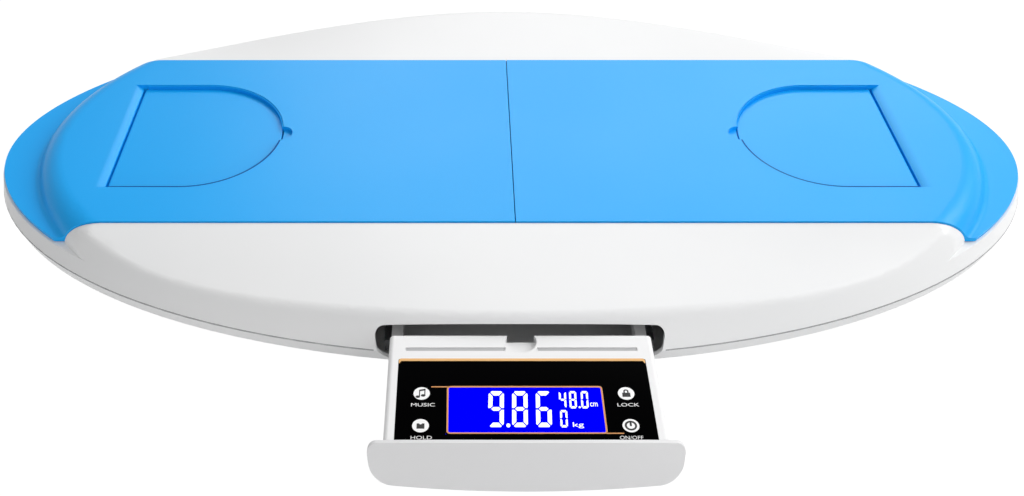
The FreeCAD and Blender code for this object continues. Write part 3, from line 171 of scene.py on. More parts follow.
plastics = {
    "shellWhite": {"colour": screenColour(243, 243, 243), "colourDeep": screenColour(238, 239, 240),
                   "roughness": 0.32, "grain": 0.02, "specular": 0.18, "coat": 0.03, "coatRoughness": 0.2},
    "trayBlue": {"colour": screenColour(14, 172, 250), "colourDeep": screenColour(8, 169, 248),
                 "roughness": 0.36, "grain": 0.08, "specular": 0.26},
    # the two colours of the strips in the flap gaps are painted shade for the shadow in the gaps, the navy
    # one for the near side
    "gapShadeBlue": {"colour": screenColour(6, 160, 242), "colourDeep": screenColour(4, 154, 236),
                "roughness": 0.7, "grain": 0.05, "specular": 0.15},
    "gapShadeNavy": {"colour": screenColour(0, 84, 166), "colourDeep": screenColour(0, 78, 158),
                "roughness": 0.7, "grain": 0.05, "specular": 0.15},
    # the front plate is the casing's white plastic, coloured a little darker as painted shade for its front
    # face, which faces away from the lamps
    "plateShadedWhite": {"colour": screenColour(232, 232, 233), "colourDeep": screenColour(229, 229, 230),
                   "roughness": 0.4, "grain": 0.06},
    "caseWhite": {"colour": screenColour(242, 242, 242), "colourDeep": screenColour(239, 239, 240),
                  "roughness": 0.34, "grain": 0.05, "specular": 0.35},
    "panelBlack": {"colour": screenColour(2, 2, 3), "colourDeep": screenColour(1, 1, 1),
                   "roughness": 0.15, "grain": 0.01, "specular": 0.008},
    "keyWhite": {"colour": screenColour(250, 250, 250), "roughness": 0.35, "grain": 0.03},
    "iconBlack": {"colour": screenColour(14, 14, 14), "roughness": 0.5, "grain": 0.03},
    "trimGold": {"colour": screenColour(230, 160, 92), "colourDeep": screenColour(220, 146, 78),
                 "roughness": 0.3, "grain": 0.03},
    "trimBright": {"colour": screenColour(240, 188, 116), "colourDeep": screenColour(230, 172, 98),
                   "roughness": 0.3, "grain": 0.03},
    "captionWhite": {"colour": screenColour(235, 235, 235), "roughness": 0.5, "grain": 0.03},
    "nylonIvory": {"colour": screenColour(226, 222, 208), "roughness": 0.45, "grain": 0.1},
    "footGrey": {"colour": screenColour(200, 202, 206), "roughness": 0.5, "grain": 0.15},
    # the grey of the strip along the parting line is painted shade for the gap between the shells
    "partingShadeGrey": {"colour": screenColour(158, 159, 161), "roughness": 0.7, "grain": 0.2},
    "railGrey": {"colour": screenColour(44, 45, 47), "roughness": 0.5, "grain": 0.1},
    # the grey of the strips in the ledge grooves is painted shade for the grooves
    "grooveShadeGrey": {"colour": screenColour(190, 190, 192), "colourDeep": screenColour(176, 176, 178),
                   "roughness": 0.6, "grain": 0.1},
    "padRubber": {"colour": screenColour(52, 52, 55), "colourDeep": screenColour(44, 44, 47),
                  "roughness": 0.8, "grain": 0.5, "grainScale": 900.0},
    "boardGreen": {"colour": screenColour(26, 102, 58), "colourDeep": screenColour(20, 88, 48),
                   "roughness": 0.35, "grain": 0.1},
    "chipBlack": {"colour": screenColour(34, 34, 36), "roughness": 0.55, "grain": 0.2},
    "cellWrap": {"colour": screenColour(58, 64, 78), "colourDeep": screenColour(50, 56, 70),
                 "roughness": 0.25, "grain": 0.03, "coat": 0.4},
}
metals = {
    "screwZinc": {"colour": screenColour(196, 198, 202), "roughness": 0.3},
    "plateSteel": {"colour": screenColour(186, 188, 192), "roughness": 0.35},
    "contactPlated": {"colour": screenColour(214, 212, 204), "roughness": 0.2},
}
lit = {
    "readoutBlue": {"colour": screenColour(0, 0, 60), "light": (0.0, 0.0, 1.0, 1.0), "glow": 1.0,
                    "specular": 0.0},
    "digitWhite": {"colour": screenColour(200, 200, 220), "light": (1.0, 1.0, 1.0, 1.0), "glow": 0.8,
                   "specular": 0.3},
}
paint = {name: mouldedPlastic(name, finish) for name, finish in plastics.items()}
paint.update({name: brushedMetal(name, finish) for name, finish in metals.items()})
paint.update({name: glowing(name, finish) for name, finish in lit.items()})
print("stage: materials made,", len(paint))


# the finish of every modelled part; a rounded copy takes the finish of its part

nodeFinish = {
    "top_shell": "shellWhite", "bottom_shell": "shellWhite", "battery_door": "shellWhite",
    "left_drawer_rail": "railGrey", "right_drawer_rail": "railGrey", "encoder_pinion": "nylonIvory",
    "encoder_body": "plateSteel", "drawer_front_plate": "plateShadedWhite", "drawer_case": "caseWhite",
    "drawer_base_cover": "caseWhite", "drawer_screws": "screwZinc", "shell_screws": "screwZinc",
    "board_screws": "screwZinc", "display_panel": "panelBlack", "lcd_module": "readoutBlue",
    "display_board": "boardGreen", "main_board": "boardGreen", "tact_switches": "chipBlack",
    "main_board_parts": "chipBlack", "speaker": "chipBlack", "battery_cells": "cellWrap",
    "battery_contacts": "contactPlated",
}
for key in ("music", "hold", "lock", "power"):
    nodeFinish[key + "_button"] = "panelBlack"
for side in ("left", "right"):
    nodeFinish.update({
        side + "_tray": "trayBlue", side + "_flap": "trayBlue", side + "_flap_pins": "screwZinc",
        side + "_tray_glides": "nylonIvory", side + "_tray_screws": "screwZinc",
        side + "_rack": "nylonIvory"})
    for row in ("front", "rear"):
        corner = row + "_" + side
        nodeFinish.update({"foot_pad_" + corner: "padRubber", "foot_cup_" + corner: "footGrey",
                           "load_cell_" + corner: "plateSteel"})

for name, node in nodes.items():
    node.data.materials.clear()
    node.data.materials.append(paint[nodeFinish[name]])
bodyOf = {name: node["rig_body"] for name, node in nodes.items()}
slotOf = {part["node"]: part["material_slot"] for part in frame["record"]["subparts"]}


# the rounds of the moulds, in degrees and steps; corners closer than the weld are one corner, and
# sameLevel is the slack when two places are compared

mould = {"flatAngle": 0.4, "sharpAngle": 35.0, "shadeAngle": 32.0, "segments": 3, "bigSegments": 5}
weld = 0.000002
sameLevel = 0.0001


def roundOff(shape, edges, width, segments):
    bmesh.ops.bevel(shape, geom=edges, offset=width, offset_type="OFFSET", segments=segments,
                    profile=0.5, affect="EDGES", clamp_overlap=True, material=-1)


def weldedCopy(nodeName):
    # the mesh of a modelled part, with its doubled corners made one
    shape = bmesh.new()
    shape.from_mesh(nodes[nodeName].data)
    bmesh.ops.remove_doubles(shape, verts=shape.verts, dist=weld)
    return shape


def addPiece(shape, name, finish, body, slot, *replaced):
    # the finished shape becomes an object that rides its body
    mesh = bpy.data.meshes.new(name)
    shape.to_mesh(mesh)
    shape.free()
    piece = bpy.data.objects.new(name, mesh)
    bpy.context.scene.collection.objects.link(piece)
    mesh.materials.clear()
    mesh.materials.append(paint[finish])
    mesh.shade_smooth()
    mesh.set_sharp_from_angle(angle=math.radians(mould["shadeAngle"]))
    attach(piece, body)
    if replaced:
        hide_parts(*replaced)
    return piece


def softCopy(nodeName, pieceName, edgeRound, bigRound=None, reshape=None):
    # a welded copy of a modelled part, with the small rounds that its mould leaves along its edges
    shape = weldedCopy(nodeName)
    bmesh.ops.dissolve_limit(shape, angle_limit=math.radians(mould["flatAngle"]),
                             verts=shape.verts, edges=shape.edges)
    if reshape:
        reshape(shape)
    shape.normal_update()
    if bigRound:
        picks, width = bigRound
        roundOff(shape, [edge for edge in shape.edges if picks(*(end.co for end in edge.verts))],
                 width, mould["bigSegments"])
        shape.normal_update()
    roundOff(shape, [edge for edge in shape.edges
                     if len(edge.link_faces) == 2
                     and edge.calc_face_angle(0) > math.radians(mould["sharpAngle"])],
             edgeRound, mould["segments"])
    piece = addPiece(shape, pieceName, nodeFinish[nodeName], bodyOf[nodeName], slotOf[nodeName], nodeName)
    even = piece.modifiers.new("evenShading", "WEIGHTED_NORMAL")
    even.keep_sharp = True


# the camera stands in front of the scale and above it

camera = {"place": (-0.03026, -0.51248, 0.44706), "tilt": 48.53, "lens": 37.94, "sensor": 36.0,
          "shift": 0.0489}


def makeCamera():
    lens = bpy.data.cameras.new("viewCamera")
    lens.lens = camera["lens"]
    lens.sensor_width = camera["sensor"]
    lens.shift_x = camera["shift"]
    eye = bpy.data.objects.new("viewCamera", lens)
    eye.location = camera["place"]
    eye.rotation_euler = (math.radians(camera["tilt"]), 0, 0)
    bpy.context.scene.collection.objects.link(eye)
    bpy.context.scene.camera = eye


makeCamera()
print("stage: camera placed")


# studio: a pale floor, a bright surround and four soft lamps

studio = {
    "floorHalf": 6.0, "floorWhite": 0.72, "floorRough": 0.9, "floorEye": 0.94, "floorGlow": 1.07,
    "surround": 0.5, "dimPatch": 0.75, "dimFrom": (-0.8, -0.5, 0.3), "dimSpread": (0.4, 0.95),
    "aim": (0, 0.03, 0.03),
    "lamps": [
        {"name": "keyLamp", "place": (1.35, 0.3, 1.15), "size": (0.9, 0.9), "power": 15.2},
        {"name": "sheenLamp", "place": (0.45, 2.4, 1.85), "size": (2.5, 1.25), "power": 34.0},
        {"name": "fillLamp", "place": (-0.4, -1.2, 1.1), "size": (1.4, 1.0), "power": 3.0},
        {"name": "stripLamp", "place": (0.1, -1.3, 0.3), "size": (1.8, 0.15), "power": 3.6},
    ],
}


def whiteForEye(tree, share):
    # what the camera, glossy and clear surfaces see is plain white; the rest of the light is as set
    path = addNode(tree, "ShaderNodeLightPath")
    eyeOrGlossy = addNode(tree, "ShaderNodeMath", operation="MAXIMUM")
    anyOfThem = addNode(tree, "ShaderNodeMath", operation="MAXIMUM")
    scaled = addNode(tree, "ShaderNodeMath", operation="MULTIPLY")
    scaled.inputs[1].default_value = share
    tree.links.new(path.outputs["Is Camera Ray"], eyeOrGlossy.inputs[0])
    tree.links.new(path.outputs["Is Glossy Ray"], eyeOrGlossy.inputs[1])
    tree.links.new(eyeOrGlossy.outputs[0], anyOfThem.inputs[0])
    tree.links.new(path.outputs["Is Transmission Ray"], anyOfThem.inputs[1])
    tree.links.new(anyOfThem.outputs[0], scaled.inputs[0])
    return scaled


def makeFloor():
    mesh = bpy.data.meshes.new("studioFloor")
    shape = bmesh.new()
    bmesh.ops.create_grid(shape, x_segments=1, y_segments=1, size=studio["floorHalf"])
    shape.to_mesh(mesh)
    shape.free()
    floor = bpy.data.objects.new("studioFloor", mesh)
    bpy.context.scene.collection.objects.link(floor)
    material, tree, surface = newMaterial("floorPale")
    surface.inputs["Base Color"].default_value = (studio["floorWhite"],) * 3 + (1.0,)
    surface.inputs["Roughness"].default_value = studio["floorRough"]
    surface.inputs["Specular IOR Level"].default_value = 0.0
    glow = addNode(tree, "ShaderNodeEmission", Strength=studio["floorGlow"])
    mixed = addNode(tree, "ShaderNodeMixShader")
    eyeShare = whiteForEye(tree, studio["floorEye"])
    tree.links.new(eyeShare.outputs[0], mixed.inputs["Fac"])
    tree.links.new(surface.outputs["BSDF"], mixed.inputs[1])
    tree.links.new(glow.outputs["Emission"], mixed.inputs[2])
    tree.links.new(mixed.outputs["Shader"], tree.nodes["Material Output"].inputs["Surface"])
    mesh.materials.append(material)


def makeSurround():
    world = bpy.data.worlds.new("studioSurround")
    world.use_nodes = True
    bpy.context.scene.world = world
    tree = world.node_tree
    background = tree.nodes["Background"]
    background.inputs["Color"].default_value = (1, 1, 1, 1)
    # a dim patch of the room, to the left and in front, which glossy rims show as a soft grey band
    direction = addNode(tree, "ShaderNodeTexCoord")
    nearness = addNode(tree, "ShaderNodeVectorMath", operation="DOT_PRODUCT")
    nearness.inputs[1].default_value = Vector(studio["dimFrom"]).normalized()
    room = addNode(tree, "ShaderNodeMapRange", interpolation_type="SMOOTHSTEP")
    room.inputs["From Min"].default_value, room.inputs["From Max"].default_value = studio["dimSpread"]
    room.inputs["To Min"].default_value = studio["surround"]
    room.inputs["To Max"].default_value = studio["surround"] * (1 - studio["dimPatch"])
    path = addNode(tree, "ShaderNodeLightPath")
    strength = addNode(tree, "ShaderNodeMix", data_type="FLOAT")
    strength.inputs["B"].default_value = 1.0
    tree.links.new(direction.outputs["Generated"], nearness.inputs[0])
    tree.links.new(nearness.outputs["Value"], room.inputs["Value"])
    tree.links.new(room.outputs["Result"], strength.inputs["A"])
    tree.links.new(path.outputs["Is Camera Ray"], strength.inputs["Factor"])
    tree.links.new(strength.outputs["Result"], background.inputs["Strength"])


def makeLamps():
    aim = Vector(studio["aim"])
    for lamp in studio["lamps"]:
        light = bpy.data.lights.new(lamp["name"], "AREA")
        light.shape = "RECTANGLE"
        light.size, light.size_y = lamp["size"]
        light.energy = lamp["power"]
        holder = bpy.data.objects.new(lamp["name"], light)
        holder.location = lamp["place"]
        holder.rotation_euler = (aim - holder.location).to_track_quat("-Z", "Y").to_euler()
        bpy.context.scene.collection.objects.link(holder)


makeFloor()
makeSurround()
makeLamps()
bpy.context.scene.view_settings.view_transform = "Standard"
print("stage: studio lit")


# shells, trays, drawer and keys, with the rounds of their moulds

mouldings = {
    "casingTop": ("top_shell", 0.0006), "casingBottom": ("bottom_shell", 0.0006),
    "leftFlap": ("left_flap", 0.0005), "rightFlap": ("right_flap", 0.0005),
    "drawerFront": ("drawer_front_plate", 0.0009), "drawerCover": ("drawer_base_cover", 0.0004),
    "readoutPanel": ("display_panel", 0.0002), "batteryDoor": ("battery_door", 0.0006),
    "musicKey": ("music_button", 0.00035), "holdKey": ("hold_button", 0.00035),
    "lockKey": ("lock_button", 0.00035), "powerKey": ("power_button", 0.00035),
}
for pieceName, (nodeName, edgeRound) in mouldings.items():
    softCopy(nodeName, pieceName, edgeRound)

notch = {"depth": 0.0035, "radius": 0.0075, "raised": 0.0009, "edge": 0.0008}


def flapTip(side):
    # the round end of a flap, where the finger notch is
    low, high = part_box(side + "_flap")
    return Vector((low.x if side == "right" else high.x, (low.y + high.y) / 2))


def makeTray(side):
    # the floor of the finger notch at the flap's tip lies just under the deck
    tip = flapTip(side)
    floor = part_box(side + "_tray")[1].z - notch["depth"]

    def raiseNotch(shape):
        for vertex in shape.verts:
            nearTip = (vertex.co.xy - tip).length < notch["radius"]
            if nearTip and abs(vertex.co.z - floor) < sameLevel:
                vertex.co.z += notch["raised"]

    softCopy(side + "_tray", side + "Tray", notch["edge"], reshape=raiseNotch)


makeTray("left")
makeTray("right")
feet = [row + "_" + side for row in ("front", "rear") for side in ("left", "right")]
cupEdge = 0.0008
for corner in feet:
    softCopy("foot_cup_" + corner, "footCup_" + corner, cupEdge)

drawerCase = {
    "edge": 0.0005, "sideRound": 0.0026, "notchHalf": 0.0082, "notchDepth": 0.0018,
    "notchLength": 0.012, "notchSlack": 0.0002, "notchFall": 0.0045,
    "grooveX": (0.008, 0.0595), "grooveBack": 0.012, "grooveReach": 0.0016, "grooveShift": 0.0026,
}
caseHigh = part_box("drawer_case")[1]
# the top of the case ends here, in front of its lower tail
ledgeRear = max(vertex.co.y for vertex in nodes["drawer_case"].data.vertices
                if vertex.co.z > caseHigh.z - sameLevel)


def isCaseShoulder(start, end):
    # the long upper edges of the case
    beside = min(abs(start.x), abs(end.x)) > caseHigh.x - sameLevel
    along = min(start.z, end.z) > caseHigh.z - sameLevel
    return beside and along


def shapeLedge(shape):
    # the floor of the thumb notch falls away to the rear, and the two grooves lie nearer to it
    start = ledgeRear - drawerCase["notchLength"]
    floor = caseHigh.z - drawerCase["notchDepth"]
    grooveY = ledgeRear - drawerCase["grooveBack"]
    inner, outer = drawerCase["grooveX"]
    for vertex in shape.verts:
        x, y, z = vertex.co
        onFloor = abs(x) < drawerCase["notchHalf"] and abs(z - floor) < sameLevel
        if onFloor and y > start - drawerCase["notchSlack"]:
            vertex.co.z -= drawerCase["notchFall"] * (y - start) / drawerCase["notchLength"]
        elif inner < abs(x) < outer and abs(y - grooveY) < drawerCase["grooveReach"] and z > floor:
            vertex.co.y += drawerCase["grooveShift"]


softCopy("drawer_case", "drawerCase", drawerCase["edge"],
         bigRound=(isCaseShoulder, drawerCase["sideRound"]), reshape=shapeLedge)
print("stage: mouldings copied and rounded")


# helpers for flat marks, which are drawn in millimetres, and for strips along an outline;
# mm is the number of millimetres in a metre

mm = 1000
marks = {"height": 0.00006, "foot": 0.00002}
ring = {"corner": 0.999, "segments": 12}


def verticesIn(items):
    return [item for item in items if isinstance(item, bmesh.types.BMVert)]


def drawOutline(shape, points):
    shape.faces.new([shape.verts.new((x, y, 0)) for x, y in points])


def drawBar(shape, left, right, front, rear):
    drawOutline(shape, [(left, front), (right, front), (right, rear), (left, rear)])


def drawDisc(shape, x, y, radius, stretch=(1, 1), segments=32):
    made = bmesh.ops.create_circle(shape, cap_ends=True, radius=radius, segments=segments)
    bmesh.ops.scale(shape, vec=(stretch[0], stretch[1], 1), verts=made["verts"])
    bmesh.ops.translate(shape, vec=(x, y, 0), verts=made["verts"])


def drawFrame(shape, x, y, width, height, line, corner, segments=6):
    # a rounded rectangle of one even line
    made = bmesh.ops.create_grid(shape, x_segments=1, y_segments=1, size=0.5)
    bmesh.ops.scale(shape, vec=(width, height, 1), verts=made["verts"])
    bmesh.ops.translate(shape, vec=(x, y, 0), verts=made["verts"])
    bmesh.ops.bevel(shape, geom=made["verts"], offset=corner, segments=segments, profile=0.5,
                    affect="VERTICES", material=-1)
    shape.faces.ensure_lookup_table()
    face = shape.faces[-1]
    bmesh.ops.inset_region(shape, faces=[face], thickness=line, use_even_offset=True, use_boundary=True)
    bmesh.ops.delete(shape, geom=[face], context="FACES")


def drawRing(shape, x, y, outer, line):
    # a frame whose corners are nearly as large as they can be
    drawFrame(shape, x, y, 2 * outer, 2 * outer, line, outer * ring["corner"], ring["segments"])


def finishMarks(shape, name, finish, body, slot, place, height=marks["height"]):
    # marks drawn about their own middle are set down on their face, with a foot that reaches into it
    bmesh.ops.scale(shape, vec=(1 / mm, 1 / mm, 1), verts=shape.verts)
    made = bmesh.ops.extrude_face_region(shape, geom=list(shape.faces))
    bmesh.ops.translate(shape, vec=(0, 0, height + marks["foot"]), verts=verticesIn(made["geom"]))
    bmesh.ops.recalc_face_normals(shape, faces=shape.faces)
    bmesh.ops.translate(shape, vec=(place[0], place[1], place[2] - marks["foot"]), verts=shape.verts)
    addPiece(shape, name, finish, body, slot)


def cutThrough(shape, place, normal, **settings):
    # splits every face that the plane crosses, and returns what lies in the cut
    whole = shape.verts[:] + shape.edges[:] + shape.faces[:]
    return bmesh.ops.bisect_plane(shape, geom=whole, plane_co=place, plane_no=normal, **settings)["geom_cut"]


def keepOutline(shape, kept):
    # the kept vertices stay, with the edges between them and no faces
    kept = set(kept)
    bmesh.ops.delete(shape, geom=[vertex for vertex in shape.verts if vertex not in kept], context="VERTS")
    bmesh.ops.delete(shape, geom=shape.faces[:], context="FACES_ONLY")


def makeStrip(shape, rise, lift, middle, thickness):
    # the outline is drawn up or down by its rise, lifted as a whole, faced away from the middle and thickened
    raised = bmesh.ops.extrude_edge_only(shape, edges=shape.edges)
    bmesh.ops.translate(shape, vec=(0, 0, rise), verts=verticesIn(raised["geom"]))
    bmesh.ops.translate(shape, vec=(0, 0, lift), verts=shape.verts)
    bmesh.ops.recalc_face_normals(shape, faces=shape.faces)
    outward = sum(face.normal.xy.dot((face.calc_center_median() - middle).xy) for face in shape.faces)
    if outward < 0:
        bmesh.ops.reverse_faces(shape, faces=shape.faces)
    bmesh.ops.solidify(shape, geom=shape.faces[:], thickness=thickness)
    bmesh.ops.recalc_face_normals(shape, faces=shape.faces)


def addWords(shape, words, x, y, width, height):
    # short plain words, made a mesh and fitted into their place in millimetres
    letters = bpy.data.curves.new("letters", "FONT")
    letters.body = words
    holder = bpy.data.objects.new("letters", letters)
    bpy.context.scene.collection.objects.link(holder)
    bpy.context.view_layer.update()
    mesh = bpy.data.meshes.new_from_object(holder)
    bpy.data.objects.remove(holder)
    low = [min(vertex.co[axis] for vertex in mesh.vertices) for axis in range(2)]
    high = [max(vertex.co[axis] for vertex in mesh.vertices) for axis in range(2)]
    mesh.transform(Matrix.Translation((x, y, 0))
                   @ Matrix.Diagonal((width / (high[0] - low[0]), height / (high[1] - low[1]), 1, 1))
                   @ Matrix.Translation((-(low[0] + high[0]) / 2, -(low[1] + high[1]) / 2, 0)))
    shape.from_mesh(mesh)
    bpy.data.meshes.remove(mesh)


def topMiddle(nodeName):
    low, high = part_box(nodeName)
    return Vector(((low.x + high.x) / 2, (low.y + high.y) / 2, high.z))


# readout digits in seven segments, in millimetres about the middle of the glass

digits = {
    "strokes": {"0": "abcdef", "4": "bcfg", "6": "acdefg", "8": "abcdefg", "9": "abcdfg"},
    "slant": 0.035, "gap": 0.42, "middle": 0.42, "cut": 0.5, "tip": 0.25,
    "big": {"marks": [("9", -13.8), ("8", -2.3), ("6", 9.2)], "y": 0.85, "size": (7.5, 22.3),
            "stroke": (2.0, 2.7)},
    "upper": {"marks": [("4", 18.7), ("8", 23.7), ("0", 29.4)], "y": 6.6, "size": (3.5, 10.9),
              "stroke": (0.95, 1.35)},
    "lower": {"marks": [("0", 18.5)], "y": -5.2, "size": (3.5, 10.6), "stroke": (0.95, 1.35)},
    "dots": [(-8.2, -9.3, 0.95), (26.6, 1.9, 0.5)], "dotStretch": (1, 1.25),
    "units": [("cm", 33.6, 3.6, 3.6, 2.4), ("kg", 25.1, -9.2, 5.2, 3.6)],
}
glassTop = topMiddle("lcd_module")


def strokeOutline(stroke, width, height, thick):
    # one segment of a digit; the others are this one turned over
    side, end, across, along = width / 2, height / 2, thick[0], thick[1]
    gap, fall, half = digits["gap"] * across / 2, digits["gap"] * along / 2, digits["middle"] * along
    cutX, cutY = across * digits["cut"], along * digits["cut"]
    tipX, tipY = across * digits["tip"], along * digits["tip"]
    flat = [(cutX + gap - side, end), (side - cutX - gap, end),
            (side - tipX - gap, end - tipY), (side - across - gap, end - along),
            (across + gap - side, end - along), (tipX + gap - side, end - tipY)]
    upright = [(side, end - cutY - fall), (side, fall), (side - cutX, fall),
               (side - across, half + fall), (side - across, end - along - fall),
               (side - tipX, end - tipY - fall)]
    middle = [(cutX + gap - side, 0), (across + gap - side, half),
              (side - across - gap, half), (side - cutX - gap, 0),
              (side - across - gap, -half), (across + gap - side, -half)]
    turns = {"a": (flat, 1, 1), "d": (flat, 1, -1), "b": (upright, 1, 1), "c": (upright, 1, -1),
             "f": (upright, -1, 1), "e": (upright, -1, -1), "g": (middle, 1, 1)}
    points, flipX, flipY = turns[stroke]
    return [(x * flipX, y * flipY) for x, y in points]


def makeDigits():
    shape = bmesh.new()
    for row in (digits["big"], digits["upper"], digits["lower"]):
        for mark, x in row["marks"]:
            for stroke in digits["strokes"][mark]:
                outline = strokeOutline(stroke, *row["size"], row["stroke"])
                drawOutline(shape, [(x + px + py * digits["slant"], row["y"] + py) for px, py in outline])
    for x, y, radius in digits["dots"]:
        drawDisc(shape, x, y, radius, digits["dotStretch"])
    for words, x, y, width, height in digits["units"]:
        addWords(shape, words, x, y, width, height)
    finishMarks(shape, "readoutDigits", "digitWhite", bodyOf["lcd_module"], slotOf["music_button"], glassTop)


makeDigits()
print("stage: digits drawn")


# orange frame on the glass with its two short leads, the black edge of the glass outside it,
# black surrounds of the keys, and the gold trim behind the panel on its black border

trim = {
    "frameX": (-37.6, 38.6), "frameY": (-14.5, 15.2), "line": 0.8, "corner": 1.7,
    "leadLeft": -45.3, "leadRight": 46.3, "lead": 0.6, "mask": 1.4, "maskHeight": 0.00002,
    "keyGap": 0.03, "surround": 0.7, "surroundHeight": 0.00003,
    "border": 2.85, "borderLap": 0.6, "borderFall": 0.8, "borderHeight": 0.00004,
    "goldWidth": 1.7, "goldIn": 0.2, "goldWrap": 3.2, "goldCut": 1.0, "goldTip": 0.4, "goldShoulder": 1.2,
}
panelLow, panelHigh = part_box("display_panel")
panelBody, panelSlot = bodyOf["display_panel"], slotOf["display_panel"]
panelFace = (glassTop.x, glassTop.y, panelHigh.z)
sunk = panelHigh.z - glassTop.z
keys = ("music_button", "hold_button", "lock_button", "power_button")


def keyRadius(nodeName):
    # the key's disc above its flange
    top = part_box(nodeName)[1].z
    middle = topMiddle(nodeName)
    return max(math.hypot(vertex.co.x - middle.x, vertex.co.y - middle.y)
               for vertex in nodes[nodeName].data.vertices if vertex.co.z > top - sameLevel)


def makeReadoutFrame():
    (left, right), (front, rear) = trim["frameX"], trim["frameY"]
    middle = ((left + right) / 2, (front + rear) / 2)
    size = (right - left, rear - front)
    line, lead, mask = trim["line"], trim["lead"], trim["mask"]
    shape = bmesh.new()
    drawFrame(shape, *middle, *size, line, trim["corner"])
    drawBar(shape, trim["leadLeft"], left + line, rear - line, rear - line + lead)
    drawBar(shape, right - line, trim["leadRight"], front, front + lead)
    finishMarks(shape, "readoutFrame", "trimGold", panelBody, panelSlot, glassTop, sunk + marks["height"])
    shape = bmesh.new()
    width, height = (length + 2 * mask - line for length in size)
    drawFrame(shape, *middle, width, height, mask, trim["corner"] + mask)
    finishMarks(shape, "glassEdge", "panelBlack", panelBody, panelSlot, glassTop, sunk + trim["maskHeight"])


def makeKeySurrounds():
    shape = bmesh.new()
    for nodeName in keys:
        key = (topMiddle(nodeName) - glassTop) * mm
        outer = keyRadius(nodeName) * mm + trim["keyGap"] + trim["surround"]
        drawRing(shape, key.x, key.y, outer, trim["surround"])
    finishMarks(shape, "keySurrounds", "panelBlack", panelBody, panelSlot,
                glassTop, sunk + trim["surroundHeight"])


def makePanelTrim():
    half = (panelHigh.x - panelLow.x) * mm / 2 - trim["goldIn"]
    side = half + trim["goldIn"]
    front = (panelHigh.y - glassTop.y) * mm
    back = front + trim["border"]
    lap, fall, cut = trim["borderLap"], trim["borderFall"], trim["goldCut"]
    tip, shoulder = trim["goldTip"], trim["goldShoulder"]
    inner, end = back - trim["goldWidth"], back - trim["goldWrap"]
    shape = bmesh.new()
    drawOutline(shape, [(-side, front - lap), (side, front - lap), (side, back - fall),
                        (half - cut, back), (-half + cut, back), (-side, back - fall)])
    finishMarks(shape, "panelBorder", "panelBlack", panelBody, panelSlot, panelFace, trim["borderHeight"])
    shape = bmesh.new()
    drawOutline(shape, [(-half, end), (-half + tip, end), (-half + shoulder, inner),
                        (half - shoulder, inner), (half - tip, end), (half, end),
                        (half, back - cut), (half - cut, back), (-half + cut, back), (-half, back - cut)])
    finishMarks(shape, "panelTrim", "trimBright", panelBody, panelSlot, panelFace)


makeReadoutFrame()
makeKeySurrounds()
makePanelTrim()


# plain captions under the keys

captions = {
    "music_button": ("MUSIC", 0.8, 11.5), "hold_button": ("HOLD", 0.5, 10.0),
    "lock_button": ("LOCK", 0.3, 10.5), "power_button": ("ON/OFF", -0.4, 11.0),
    "drop": 6.75, "height": 2.1,
}


def makeCaptions():
    shape = bmesh.new()
    for nodeName in keys:
        words, shift, width = captions[nodeName]
        key = (topMiddle(nodeName) - glassTop) * mm
        addWords(shape, words, key.x + shift, key.y - captions["drop"], width, captions["height"])
    finishMarks(shape, "keyCaptions", "captionWhite", panelBody, slotOf["music_button"], panelFace)


makeCaptions()
print("stage: trim and captions drawn")


# white faces of the keys and the black marks on them: a note, a notched square, a padlock and a power sign

icons = {
    "face": 0.92, "faceSides": 64, "faceHeight": 0.00005, "markHeight": 0.0001,
    "notes": [{"x": -1.1, "head": -2.1, "stem": (-2.0, 1.6), "beam": 1.3},
              {"x": 1.5, "head": -1.3, "stem": (-1.2, 2.3), "beam": 2.0}],
    "noteHead": 0.95, "noteStretch": (1.15, 0.8), "noteShift": -0.75, "noteStem": (-0.2, 0.3),
    "noteBeam": 1.0,
    "square": {"half": 1.85, "top": 0.7, "floor": 0.4, "wide": 0.4, "narrow": 0.2},
    "lockBody": (3.9, 2.6), "lockFoot": -2.2, "lockBow": (2.5, 3.2, 0.7, 1.1), "lockLift": 0.5,
    "powerRing": (2.9, 0.95), "powerBar": (0.95, 2.8), "powerFoot": -0.3,
}


def drawNote(shape):
    near, far = icons["noteStem"]
    for note in icons["notes"]:
        drawDisc(shape, note["x"] + icons["noteShift"], note["head"], icons["noteHead"], icons["noteStretch"])
    for note in icons["notes"]:
        drawBar(shape, note["x"] + near, note["x"] + far, *note["stem"])
    first, last = icons["notes"]
    left, right = first["x"] + near, last["x"] + far
    drawOutline(shape, [(left, first["beam"]), (right, last["beam"]),
                        (right, last["beam"] + icons["noteBeam"]), (left, first["beam"] + icons["noteBeam"])])


def drawHold(shape):
    # all but the half are shares of it: the top, and the notch's floor and half widths
    square = icons["square"]
    half = square["half"]
    top, floor, wide, narrow = (half * square[name] for name in ("top", "floor", "wide", "narrow"))
    drawOutline(shape, [(-half, -half), (half, -half), (half, top), (wide, top),
                        (narrow, floor), (-narrow, floor), (-wide, top), (-half, top)])


def drawPadlock(shape):
    # of the bow only the part above the body is kept
    width, height = icons["lockBody"]
    bowWidth, bowHeight, line, corner = icons["lockBow"]
    top = height + icons["lockFoot"]
    drawFrame(shape, 0, top + icons["lockLift"], bowWidth, bowHeight, line, corner)
    cutThrough(shape, (0, top, 0), (0, 1, 0), clear_inner=True)
    drawBar(shape, -width / 2, width / 2, icons["lockFoot"], top)


def drawPower(shape):
    drawRing(shape, 0, 0, *icons["powerRing"])
    width, height = icons["powerBar"]
    drawBar(shape, -width / 2, width / 2, icons["powerFoot"], height + icons["powerFoot"])


